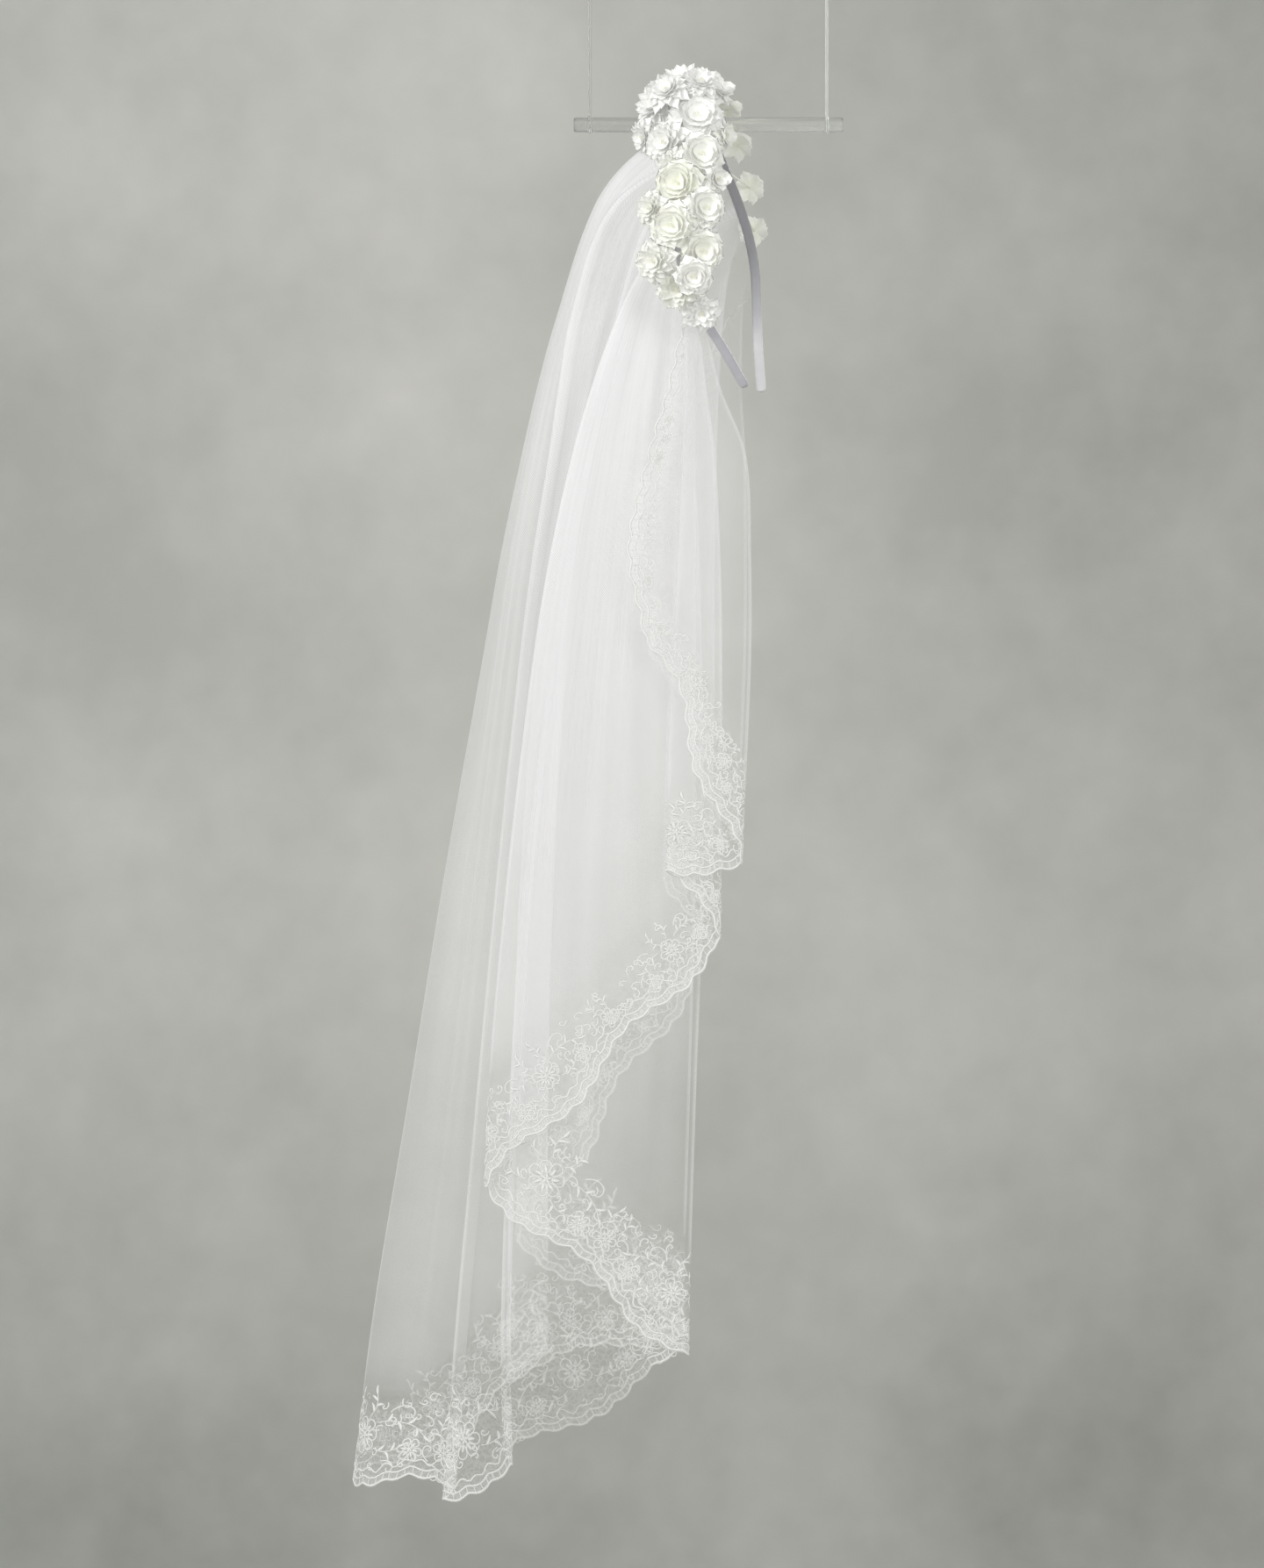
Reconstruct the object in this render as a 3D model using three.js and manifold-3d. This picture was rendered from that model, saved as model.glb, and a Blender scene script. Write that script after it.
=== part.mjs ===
// Child's bridal veil on a flowered headband, hung by the band from a clear rod on two clear lines.
// Millimetres. +X is to the right, +Y away from the viewer, +Z up.
// The origin is midway between the tops of the two lines that hold the rod.
import * as THREE from "three";
import { mergeVertices } from "three/addons/utils/BufferGeometryUtils.js";
import Module from "manifold-3d";

const wasm = await Module();
wasm.setup();

const SEAM = 0.3; // gap between pieces that are sewn, tied or rested on each other
const RUN_GAP = 0.6; // gap between two runs of the same cloth
const HEM_GAP = 0.8; // drop from the tulle to the lace, most of it taken up where the hem slants
const CLOTH = 1.0; // wall of the tulle
const LACE = 1.1; // wall of the lace edging

// Hanger
const ROD = { length: 138, diameter: 7.6, height: -69.5, sides: 20 };
const LINE = { diameter: 1.6, spread: 121.5, sides: 8 };

// Headband: the middle line of a slim satin-wrapped band, from its near end over the top to its far end.
const BAND = { width: 5, thickness: 2.2, stations: 36 };
const BAND_ROUTE = [
  { x: 18.5, y: -29, z: -205 },
  { x: 6.8, y: -44.5, z: -185.5 },
  { x: -0.5, y: -52, z: -174 },
  { x: -5, y: -56.5, z: -160.5 },
  { x: -13, y: -59, z: -146 },
  { x: -16.5, y: -59.5, z: -122.5 },
  { x: -15, y: -54, z: -106.5 },
  { x: -11.5, y: -43, z: -90 },
  { x: -7.5, y: -24, z: -73 },
  { x: -4, y: 0, z: -64.1 },
  { x: 1, y: 24, z: -72.5 },
  { x: 8, y: 43, z: -88 },
  { x: 15, y: 54, z: -104 },
  { x: 21, y: 59.5, z: -122 },
  { x: 24.5, y: 60, z: -140 },
  { x: 25.5, y: 56.5, z: -160.5 },
  { x: 26, y: 47, z: -180 },
  { x: 27.5, y: 30, z: -205 },
];

// The tulle: one sheet gathered to the back edge of the band and hung in folds.
// Each row is a line down the cloth, in order from the near free edge to the far one.
//   side    +1 where the cloth turns back at the right, -1 at the left, 0 on a line with no turn
//   band    place along the band where the line starts, 0 at its near end and 1 at its far end
//   depth   how far the line hangs towards the viewer (negative) or away, before the flare
//   round   half the gap between the layers at the turn
//   nose    how far the turn reaches sideways, at the band and at the foot
//   lift    drop in which the cloth leaves the band
//   hem     height of the scalloped edge
//   lace    height of the lace edging above it
//   steps   spans of cloth from this line to the next, and round the turn
//   x       place across at each of LEVELS
const LEVELS = [-75, -110, -170, -205, -240, -290, -345, -455, -570, -680, -770];
const FOLDS = [
  { name: "near_edge", side: 0, band: 0.144, depth: -50.6, round: 0, nose: [0, 0], lift: 10, hem: -333, lace: 42,
    steps: 2, turn: 0, x: [-11, -11, -16, -21, -31, -41, -30, -28, -28, -28, -28] },
  { name: "near_seam", side: 0, band: 0.162, depth: -49, round: 0, nose: [0, 0], lift: 10, hem: -380, lace: 46,
    steps: 3, turn: 0, x: [-8, -8, -10, -10, -12, -14, -12, -10, -10, -10, -10] },
  { name: "R1", side: 1, band: 0.18, depth: -47.6, round: 1.5, nose: [2.2, 2.2], lift: 11, hem: -451, lace: 46,
    steps: 3, turn: 3, x: [-2, -2, 0, 6, 19, 21.5, 21.5, 17, 16, 16, 16] },
  { name: "L1", side: -1, band: 0.203, depth: -44.4, round: 1.5, nose: [2.2, 2.2], lift: 11, hem: -449, lace: 38,
    steps: 3, turn: 3, x: [-12, -12, -13, -13, -14, -16, -19, -22.5, -24, -24, -24] },
  { name: "R2", side: 1, band: 0.228, depth: -41.2, round: 1.5, nose: [2.2, 2.2], lift: 12, hem: -487, lace: 42,
    steps: 5, turn: 3, x: [-6, -6, -4, -1, 3.5, 6, 7, 6.5, 6, 6, 6] },
  { name: "L2", side: -1, band: 0.26, depth: -38, round: 1.5, nose: [2.2, 2.2], lift: 12, hem: -612, lace: 64,
    steps: 6, turn: 3, x: [-20, -26, -48, -60, -70, -81, -90, -103, -113, -116, -117] },
  { name: "R3", side: 1, band: 0.293, depth: -34.8, round: 1.5, nose: [2.2, 2.2], lift: 12, hem: -699, lace: 54,
    steps: 6, turn: 3, x: [-14, -14, -12, -9, -7, -4.5, -3, -2.5, -6.5, -9.5, -9] },
  { name: "strip_left", side: -1, band: 0.325, depth: -31.6, round: 1.5, nose: [2.2, 2.2], lift: 11, hem: -750, lace: 52,
    steps: 1, turn: 3, x: [-20, -32, -48, -57, -64, -73, -80.5, -94.5, -102, -106, -105] },
  { name: "strip_right", side: 1, band: 0.337, depth: -28.4, round: 1.5, nose: [2.2, 2.2], lift: 11, hem: -754, lace: 54,
    steps: 3, turn: 3, x: [-14, -25, -41, -50, -57, -66, -74, -88.5, -96.5, -100.5, -99] },
  { name: "pleat_left", side: -1, band: 0.366, depth: -25.2, round: 1.5, nose: [2.2, 2.2], lift: 9, hem: -772, lace: 60,
    steps: 1, turn: 3, x: [-24, -52, -71, -77, -82, -90, -97, -108.5, -119, -129, -136] },
  { name: "pleat_right", side: 1, band: 0.379, depth: -22, round: 1.5, nose: [2.2, 2.2], lift: 9, hem: -770, lace: 60,
    steps: 5, turn: 3, x: [-18, -45, -64, -70, -75, -83, -90, -101.5, -112, -122, -129] },
  { name: "back", side: -1, band: 0.5, depth: 0, round: 17, nose: [5, 26], lift: 4, hem: -762, lace: 48,
    steps: 5, turn: 14, x: [-33, -58, -78.5, -88, -96, -106.5, -116, -135.5, -154, -172, -183] },
  { name: "far_R4", side: 1, band: 0.618, depth: 22, round: 1.5, nose: [2.2, 2.2], lift: 9, hem: -702, lace: 55,
    steps: 2, turn: 3, x: [-14, -34, -54, -60, -65, -69, -73, -79, -82, -82, -82] },
  { name: "far_L3", side: -1, band: 0.645, depth: 25.6, round: 1.5, nose: [2.2, 2.2], lift: 10, hem: -712, lace: 54,
    steps: 5, turn: 3, x: [-20, -44, -64, -70, -76, -83, -89, -97, -102, -104, -104] },
  { name: "far_R3", side: 1, band: 0.685, depth: 29.4, round: 1.5, nose: [2.2, 2.2], lift: 12, hem: -690, lace: 54,
    steps: 5, turn: 3, x: [8, 6, -4, -6, -6, -6, -6, -6, -9, -12, -12] },
  { name: "far_L2", side: -1, band: 0.722, depth: 33.2, round: 1.5, nose: [2.2, 2.2], lift: 12, hem: -646, lace: 60,
    steps: 5, turn: 3, x: [0, -10, -42, -55, -64, -74, -82, -92, -98, -100, -100] },
  { name: "far_R2", side: 1, band: 0.757, depth: 37, round: 1.5, nose: [2.2, 2.2], lift: 12, hem: -494, lace: 42,
    steps: 3, turn: 3, x: [12, 12, 8, 6, 5, 4, 4, 3, 3, 3, 3] },
  { name: "far_L1", side: -1, band: 0.788, depth: 40.8, round: 1.5, nose: [2.2, 2.2], lift: 12, hem: -452, lace: 38,
    steps: 3, turn: 3, x: [10, 8, -6, -12, -16, -18, -20, -24, -24, -24, -24] },
  { name: "far_R1", side: 1, band: 0.813, depth: 44.6, round: 1.5, nose: [2.2, 2.2], lift: 11, hem: -440, lace: 46,
    steps: 4, turn: 3, x: [18, 18, 18, 18, 20, 20.5, 20, 16, 16, 16, 16] },
  { name: "far_seam", side: 0, band: 0.834, depth: 47.2, round: 0, nose: [0, 0], lift: 11, hem: -382, lace: 46,
    steps: 2, turn: 0, x: [16, 14, 9, 3, -5, -9, -10, -10, -10, -10, -10] },
  { name: "far_edge", side: 0, band: 0.847, depth: 48, round: 0, nose: [0, 0], lift: 11, hem: -338, lace: 42,
    steps: 0, turn: 0, x: [14, 10, 3, -8, -21, -33, -28, -26, -26, -26, -26] },
];
const FLARE = { share: 0.42, from: -170, to: -770 }; // how much wider the cloth hangs at the foot than at the band
const SPREAD_DROP = 6; // drop in which the layers part below the band
const ROD_DIP = { drop: 12.2, width: 13 }; // the gathered edge passes under the rod at the middle
const GATHER = { height: 0.6, opens: 6, fades: 50, columns: 4 }; // ripples where the cloth is gathered
const ROWS = 10; // spans of tulle from the band to the lace
const ROW_CROWD = 1.7; // crowds the spans towards the band
const LOBE = { length: 87, depth: 9, first: 30 }; // large lobes of the lace edge
const SCALLOP = { length: 13, depth: 2.4, span: 4.4 }; // small scallops of the lace edge

// Flowers wired to the band: place, way they face, radius, petals, and the place on the band of each wire.
const PETAL = { thickness: 0.8, cup: 0.28, core: 0.2, rise: 1.1 };
const WIRE = 1.4;
const FLOWERS = [
  { x: -27, y: -17, z: -60, face: [-0.75, -0.55, 0.3], radius: 12.5, petals: 9, tip: "pointed", band: 0.455 },
  { x: -14, y: -6, z: -47.5, face: [-0.3, -0.4, 0.87], radius: 12.5, petals: 9, tip: "pointed", band: 0.475 },
  { x: 4.5, y: -8, z: -52, face: [0.6, -0.45, 0.66], radius: 11, petals: 6, tip: "round", band: 0.49 },
  { x: -6, y: -32, z: -67, face: [0.1, -0.93, 0.34], radius: 12.5, petals: 7, tip: "round", band: 0.432 },
  { x: -22, y: -37, z: -81, face: [-0.55, -0.8, 0.1], radius: 11, petals: 8, tip: "pointed", band: 0.42 },
  { x: -4, y: -51, z: -88, face: [0.2, -0.93, 0.25], radius: 11, petals: 6, tip: "round", band: 0.385 },
  { x: -16, y: -61, z: -103, face: [-0.3, -0.94, 0.15], radius: 10.5, petals: 6, tip: "round", band: 0.345 },
  { x: -2, y: -67, z: -116, face: [0.3, -0.94, 0.1], radius: 10.5, petals: 6, tip: "round", band: 0.31 },
  { x: -19, y: -70, z: -125, face: [-0.25, -0.96, 0.05], radius: 10, petals: 6, tip: "round", band: 0.28 },
  { x: -3.5, y: -69, z: -138, face: [0.25, -0.96, -0.05], radius: 10.5, petals: 6, tip: "round", band: 0.25 },
  { x: -28, y: -66, z: -143, face: [-0.45, -0.88, 0], radius: 9.5, petals: 8, tip: "pointed", band: 0.235 },
  { x: -16, y: -66, z: -157, face: [-0.2, -0.95, -0.2], radius: 9.5, petals: 8, tip: "pointed", band: 0.205 },
  { x: -4, y: -61.5, z: -169, face: [0.1, -0.93, -0.3], radius: 9, petals: 8, tip: "pointed", band: 0.17 },
  { x: 10, y: 20, z: -61, face: [0.5, 0.5, 0.7], radius: 10, petals: 6, tip: "round", band: 0.545 },
  { x: 15, y: 45, z: -77, face: [0.4, 0.75, 0.5], radius: 10, petals: 6, tip: "round", band: 0.6 },
  { x: 22, y: 61, z: -98, face: [0.3, 0.93, 0.2], radius: 9.5, petals: 6, tip: "round", band: 0.655 },
  { x: 24, y: 68, z: -120, face: [0.2, 0.97, 0], radius: 9, petals: 6, tip: "round", band: 0.71 },
  { x: -21, y: -30, z: -54, face: [-0.45, -0.65, 0.6], radius: 9.5, petals: 8, tip: "pointed", band: 0.445 },
  { x: -4, y: -28, z: -49.5, face: [0.15, -0.75, 0.64], radius: 9.5, petals: 8, tip: "pointed", band: 0.465 },
  { x: -24, y: 9, z: -51, face: [-0.65, 0.3, 0.7], radius: 10.5, petals: 9, tip: "pointed", band: 0.525 },
  { x: -19, y: -47, z: -94, face: [-0.7, -0.7, 0.1], radius: 8.5, petals: 8, tip: "pointed", band: 0.37 },
  { x: 4, y: -59, z: -101, face: [0.6, -0.8, 0.1], radius: 8.5, petals: 6, tip: "round", band: 0.325 },
  { x: -30, y: -64, z: -116, face: [-0.6, -0.8, 0.1], radius: 8, petals: 8, tip: "pointed", band: 0.3 },
  { x: -8, y: -75, z: -151, face: [0.1, -0.98, -0.15], radius: 8, petals: 6, tip: "round", band: 0.225 },
  { x: -33, y: -22, z: -77, face: [-0.85, -0.5, -0.2], radius: 8.5, petals: 8, tip: "pointed", band: 0.425 },
  { x: 8, y: -29, z: -77, face: [0.85, -0.5, 0.1], radius: 8.5, petals: 6, tip: "round", band: 0.4 },
];

const COLOURS = {
  tulle: ["#f4f5f6", 0.85],
  lace: ["#f7f7f4", 0.8],
  satin: ["#a6a6ac", 0.45],
  petal: ["#f6f6ee", 0.7],
  clear: ["#d8dad8", 0.15],
};

const V = (x, y, z) => new THREE.Vector3(x, y, z);
const mix = (a, b, t) => a + (b - a) * t;
const ease = (t) => t * t * (3 - 2 * t);

// A smooth value at z through the table of LEVELS, which run downwards.
function along(values, z) {
  const last = LEVELS.length - 1;
  if (z >= LEVELS[0]) return values[0];
  if (z <= LEVELS[last]) return values[last];
  const k = LEVELS.findIndex((level) => level < z) - 1;
  const slope = (n) => {
    const a = Math.max(n - 1, 0), b = Math.min(n + 1, last);
    return (values[b] - values[a]) / (LEVELS[b] - LEVELS[a]);
  };
  const span = LEVELS[k + 1] - LEVELS[k];
  const t = (z - LEVELS[k]) / span;
  const [h0, h1] = [values[k], values[k + 1]];
  const [m0, m1] = [slope(k) * span, slope(k + 1) * span];
  return (2 * h0 - 2 * h1 + m0 + m1) * t ** 3 + (3 * h1 - 3 * h0 - 2 * m0 - m1) * t ** 2 + m0 * t + h0;
}

const bandCurve = new THREE.CatmullRomCurve3(BAND_ROUTE.map((p) => V(p.x, p.y, p.z)), false, "centripetal");

// Axes of the band at a place: across is its width, towards the front, and out its thickness, away from the head.
function bandAxes(place) {
  const tangent = bandCurve.getTangentAt(place);
  const across = V(1, 0, 0).addScaledVector(tangent, -tangent.x).normalize();
  return { point: bandCurve.getPointAt(place), across, out: new THREE.Vector3().crossVectors(across, tangent) };
}

// Where the gathered edge starts: just behind the band's back edge, and under the rod at the middle.
function gatheredEdge(place) {
  const { point, across } = bandAxes(place);
  const start = point.addScaledVector(across, -(BAND.width / 2 + SEAM + LACE / 2 + 0.2));
  start.z -= ROD_DIP.drop * Math.exp(-((start.y / ROD_DIP.width) ** 2));
  return start;
}

// Columns of the sheet: each is a round place at a turn, or a place between two turns.
function sheetColumns() {
  const columns = [];
  FOLDS.forEach((fold, k) => {
    for (let n = 0; n <= fold.turn; n++) {
      const angle = fold.turn ? (n / fold.turn - 0.5) * Math.PI : 0;
      columns.push({ fold: k, share: 0, angle, centre: n === Math.round(fold.turn / 2) });
    }
    for (let n = 1; n < fold.steps; n++) columns.push({ fold: k, share: n / fold.steps, angle: null });
  });
  const marks = FOLDS.map((_, k) => columns.findIndex((c) => c.fold === k && c.centre));
  columns.forEach((column, n) => {
    const k = Math.min(Math.max(marks.findLastIndex((mark) => mark <= n), 0), FOLDS.length - 2);
    const t = (n - marks[k]) / (marks[k + 1] - marks[k]);
    column.band = mix(FOLDS[k].band, FOLDS[k + 1].band, t);
    column.lift = mix(FOLDS[k].lift, FOLDS[k + 1].lift, t);
    column.index = n;
  });
  return columns;
}
const columns = sheetColumns();

function turnPoint(fold, angle, z) {
  const low = ease(THREE.MathUtils.clamp((FLARE.from - z) / (FLARE.from - FLARE.to), 0, 1));
  const flare = 1 + FLARE.share * low;
  const x = along(fold.x, z) + fold.side * mix(...fold.nose, low) * (Math.cos(angle) - 1);
  return [x, (fold.depth + fold.round * Math.sin(angle)) * flare];
}

// The hanging sheet's place across and in depth at a height, before it is drawn up to the band.
function hanging(column, z) {
  const fold = FOLDS[column.fold];
  if (column.angle !== null) return turnPoint(fold, column.angle, z);
  const [x0, y0] = turnPoint(fold, Math.PI / 2, z);
  const [x1, y1] = turnPoint(FOLDS[column.fold + 1], -Math.PI / 2, z);
  return [mix(x0, x1, column.share), mix(y0, y1, column.share)];
}

function between(column, key) {
  const next = FOLDS[Math.min(column.fold + 1, FOLDS.length - 1)];
  return mix(FOLDS[column.fold][key], next[key], column.share);
}

function sheetPoint(column, z) {
  const top = gatheredEdge(column.band);
  const drop = Math.max(top.z - z, 0);
  const [x, y] = hanging(column, Math.min(z, top.z));
  const parted = 1 - Math.exp(-drop / SPREAD_DROP);
  const drawn = 1 - Math.exp(-drop / column.lift);
  const wave = GATHER.height * (1 - Math.exp(-drop / GATHER.opens)) * Math.exp(-drop / GATHER.fades);
  const phase = (2 * Math.PI * column.index) / GATHER.columns + Math.PI / 4;
  const ripple = wave * Math.sin(phase);
  return V(mix(top.x, x, drawn), mix(top.y, y, parted) + ripple * Math.sign(top.y || 1), z);
}

// A column part of the way to the next one, for the closer spans of the lace.
function partColumn(a, b, t) {
  if (t === 0) return a;
  const mixed = { band: mix(a.band, b.band, t), lift: mix(a.lift, b.lift, t), index: mix(a.index, b.index, t) };
  if (a.fold === b.fold && a.angle !== null && b.angle !== null)
    return { ...mixed, fold: a.fold, share: 0, angle: mix(a.angle, b.angle, t) };
  const end = b.fold === a.fold ? b.share : 1;
  return { ...mixed, fold: a.fold, share: mix(a.share, end, t), angle: null };
}

// Length along the plain hem line to each column.
const hemLine = columns.map((column) => sheetPoint(column, between(column, "hem")));
const hemLength = [0];
for (let n = 1; n < hemLine.length; n++) hemLength.push(hemLength[n - 1] + hemLine[n].distanceTo(hemLine[n - 1]));

function edgeDepth(length) {
  const lobe = 0.5 - 0.5 * Math.cos((2 * Math.PI * (length - LOBE.first)) / LOBE.length);
  const scallop = Math.abs(Math.sin((Math.PI * length) / SCALLOP.length));
  return LOBE.depth * (lobe - 0.5) + SCALLOP.depth * (scallop - 0.5);
}

// A grid of places on the cloth, grid[i][j], each with the way its face looks.
function faced(points) {
  const across = points.length, down = points[0].length;
  const at = (i, j) => points[THREE.MathUtils.clamp(i, 0, across - 1)][THREE.MathUtils.clamp(j, 0, down - 1)];
  return points.map((line, i) => line.map((point, j) => {
    const sideways = new THREE.Vector3().subVectors(at(i + 1, j), at(i - 1, j));
    const downwards = new THREE.Vector3().subVectors(at(i, j + 1), at(i, j - 1));
    return { point, normal: new THREE.Vector3().crossVectors(sideways, downwards).normalize() };
  }));
}

// A run of a grid, with its cut ends drawn back a little so that two runs stay a seam apart.
function run(grid, from, to) {
  const lines = grid.slice(from, to + 1).map((line) => line.map((place) => ({ ...place })));
  const drawBack = (line, way) => {
    const places = line.map(({ point }) => point);
    line.forEach((place, j) => {
      const above = places[Math.max(j - 1, 0)], below = places[Math.min(j + 1, places.length - 1)];
      const downwards = new THREE.Vector3().subVectors(below, above);
      const sideways = new THREE.Vector3().crossVectors(downwards, place.normal).normalize();
      place.point = place.point.clone().addScaledVector(sideways, (way * RUN_GAP) / 2);
    });
  };
  if (from > 0) drawBack(lines[0], 1);
  if (to < grid.length - 1) drawBack(lines.at(-1), -1);
  return lines;
}

// A closed wall on a grid of places, half its thickness to each side.
function wall(grid, thickness) {
  const across = grid.length, down = grid[0].length;
  const shifted = (amount) => grid.flat().map(({ point, normal }) => point.clone().addScaledVector(normal, amount));
  const front = shifted(thickness / 2), back = shifted(-thickness / 2);
  const size = front.length, faces = [];
  const quad = (a, b, c, d) => faces.push(a, b, c, a, c, d);
  const id = (i, j) => i * down + j;
  for (let i = 0; i + 1 < across; i++)
    for (let j = 0; j + 1 < down; j++) {
      quad(id(i, j), id(i + 1, j), id(i + 1, j + 1), id(i, j + 1));
      quad(size + id(i, j), size + id(i, j + 1), size + id(i + 1, j + 1), size + id(i + 1, j));
    }
  const rim = [];
  for (let i = 0; i + 1 < across; i++) rim.push(id(i, 0));
  for (let j = 0; j + 1 < down; j++) rim.push(id(across - 1, j));
  for (let i = across - 1; i > 0; i--) rim.push(id(i, down - 1));
  for (let j = down - 1; j > 0; j--) rim.push(id(0, j));
  rim.forEach((a, n) => {
    const b = rim[(n + 1) % rim.length];
    quad(b, a, size + a, size + b);
  });
  return closed([...front, ...back], faces);
}

// Geometry of a closed body whose faces are turned to point out.
function closed(points, faces) {
  let volume = 0;
  for (let n = 0; n < faces.length; n += 3) {
    const [a, b, c] = [points[faces[n]], points[faces[n + 1]], points[faces[n + 2]]];
    volume += a.dot(new THREE.Vector3().crossVectors(b, c));
  }
  const geometry = new THREE.BufferGeometry().setFromPoints(points);
  geometry.setIndex(volume < 0 ? faces.toReversed() : faces);
  return geometry;
}

// A bar of a given section, swept along stations that each have a point and two axes.
function bar(stations, section) {
  const points = [], faces = [], sides = section.length;
  for (const { point, across, out } of stations)
    for (const [u, v] of section) points.push(point.clone().addScaledVector(across, u).addScaledVector(out, v));
  for (let n = 0; n + 1 < stations.length; n++)
    for (let k = 0; k < sides; k++) {
      const a = n * sides + k, b = n * sides + ((k + 1) % sides);
      faces.push(a, b, b + sides, a, b + sides, a + sides);
    }
  const end = (stations.length - 1) * sides;
  for (let k = 1; k + 1 < sides; k++) {
    faces.push(0, k + 1, k);
    faces.push(end, end + k, end + k + 1);
  }
  return closed(points, faces);
}

// A regular section of the given width and thickness, measured across its flats.
function ring(width, thickness, sides) {
  const corner = 0.5 / Math.cos(Math.PI / sides);
  return Array.from({ length: sides }, (_, k) => {
    const angle = ((k + 0.5) / sides) * 2 * Math.PI;
    return [width * corner * Math.cos(angle), thickness * corner * Math.sin(angle)];
  });
}

const group = new THREE.Group();
function add(name, geometry, look) {
  const [color, roughness] = COLOURS[look];
  const material = new THREE.MeshStandardMaterial({ color, roughness, metalness: 0, side: THREE.FrontSide });
  const mesh = new THREE.Mesh(geometry, material);
  mesh.name = name;
  group.add(mesh);
}

// Hanger: a clear rod through the arch of the band, and the two lines that carry it.
const rod = new THREE.CylinderGeometry(ROD.diameter / 2, ROD.diameter / 2, ROD.length, ROD.sides);
rod.rotateZ(Math.PI / 2).translate(0, 0, ROD.height);
add("hanger_rod", rod, "clear");
const lineFoot = ROD.height + ROD.diameter / 2 + SEAM;
for (const [name, side] of [["hanger_line_left", -1], ["hanger_line_right", 1]]) {
  const line = new THREE.CylinderGeometry(LINE.diameter / 2, LINE.diameter / 2, -lineFoot, LINE.sides);
  line.rotateX(Math.PI / 2).translate((side * LINE.spread) / 2, 0, lineFoot / 2);
  add(name, line, "clear");
}

const bandStations = Array.from({ length: BAND.stations + 1 }, (_, n) => bandAxes(n / BAND.stations));
add("headband", bar(bandStations, ring(BAND.width, BAND.thickness, 8)), "satin");

// The sheet from the band to the lace: a column is a line of places down it.
const sheet = faced(columns.map((column) => {
  const top = gatheredEdge(column.band).z;
  const foot = between(column, "hem") + between(column, "lace") + HEM_GAP;
  return Array.from({ length: ROWS + 1 }, (_, j) => sheetPoint(column, mix(top, foot, (j / ROWS) ** ROW_CROWD)));
}));

// The lace along the foot of the sheet, in closer spans so that its edge is scalloped.
// laceStart holds the place in the grid where each column of the sheet begins.
const laceStart = [];
const lacePoints = [];
columns.forEach((here, n) => {
  const next = columns[n + 1] ?? here;
  const length = (hemLength[n + 1] ?? hemLength[n]) - hemLength[n];
  const spans = Math.max(1, Math.round(length / SCALLOP.span));
  const lid = (column) => sheetPoint(column, between(column, "hem") + between(column, "lace"));
  laceStart.push(lacePoints.length);
  for (let k = 0; k < spans && (k === 0 || next !== here); k++) {
    const column = partColumn(here, next, k / spans);
    const reach = hemLength[n] + (k / spans) * length;
    const hem = between(column, "hem") - edgeDepth(reach);
    lacePoints.push([lid(here).lerp(lid(next), k / spans), sheetPoint(column, hem)]);
  }
});
const edging = faced(lacePoints);

const mark = (name) => columns.findIndex((column) => FOLDS[column.fold].name === name && column.centre);
const first = 0, last = columns.length - 1;
const nearSeam = mark("near_seam"), farSeam = mark("far_seam");
const nearSplit = mark("R3") + 5, farSplit = mark("far_L3") + 4;
const RUNS = [
  ["near", nearSeam, nearSplit, first, nearSplit],
  ["back", nearSplit, farSplit, nearSplit, farSplit],
  ["far", farSplit, farSeam, farSplit, last],
];
for (const [name, from, to, laceFrom, laceTo] of RUNS) {
  add("tulle_" + name, wall(run(sheet, from, to), CLOTH), "tulle");
  add("lace_" + name + "_hem", wall(run(edging, laceStart[laceFrom], laceStart[laceTo]), LACE), "lace");
}
add("lace_near_edge", wall(run(sheet, first, nearSeam), LACE), "lace");
add("lace_far_edge", wall(run(sheet, farSeam, last), LACE), "lace");

// Flowers
const solid = (geometry) => {
  const plain = geometry.clone();
  plain.deleteAttribute("normal");
  plain.deleteAttribute("uv");
  const merged = mergeVertices(plain, 1e-4);
  return new wasm.Manifold(new wasm.Mesh({
    numProp: 3,
    vertProperties: new Float32Array(merged.attributes.position.array),
    triVerts: new Uint32Array(merged.index.array),
  }));
};

function fromSolid(made) {
  const mesh = made.getMesh();
  const geometry = new THREE.BufferGeometry();
  geometry.setAttribute("position", new THREE.BufferAttribute(new Float32Array(mesh.vertProperties), 3));
  geometry.setIndex(new THREE.BufferAttribute(new Uint32Array(mesh.triVerts), 1));
  return geometry;
}

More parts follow.
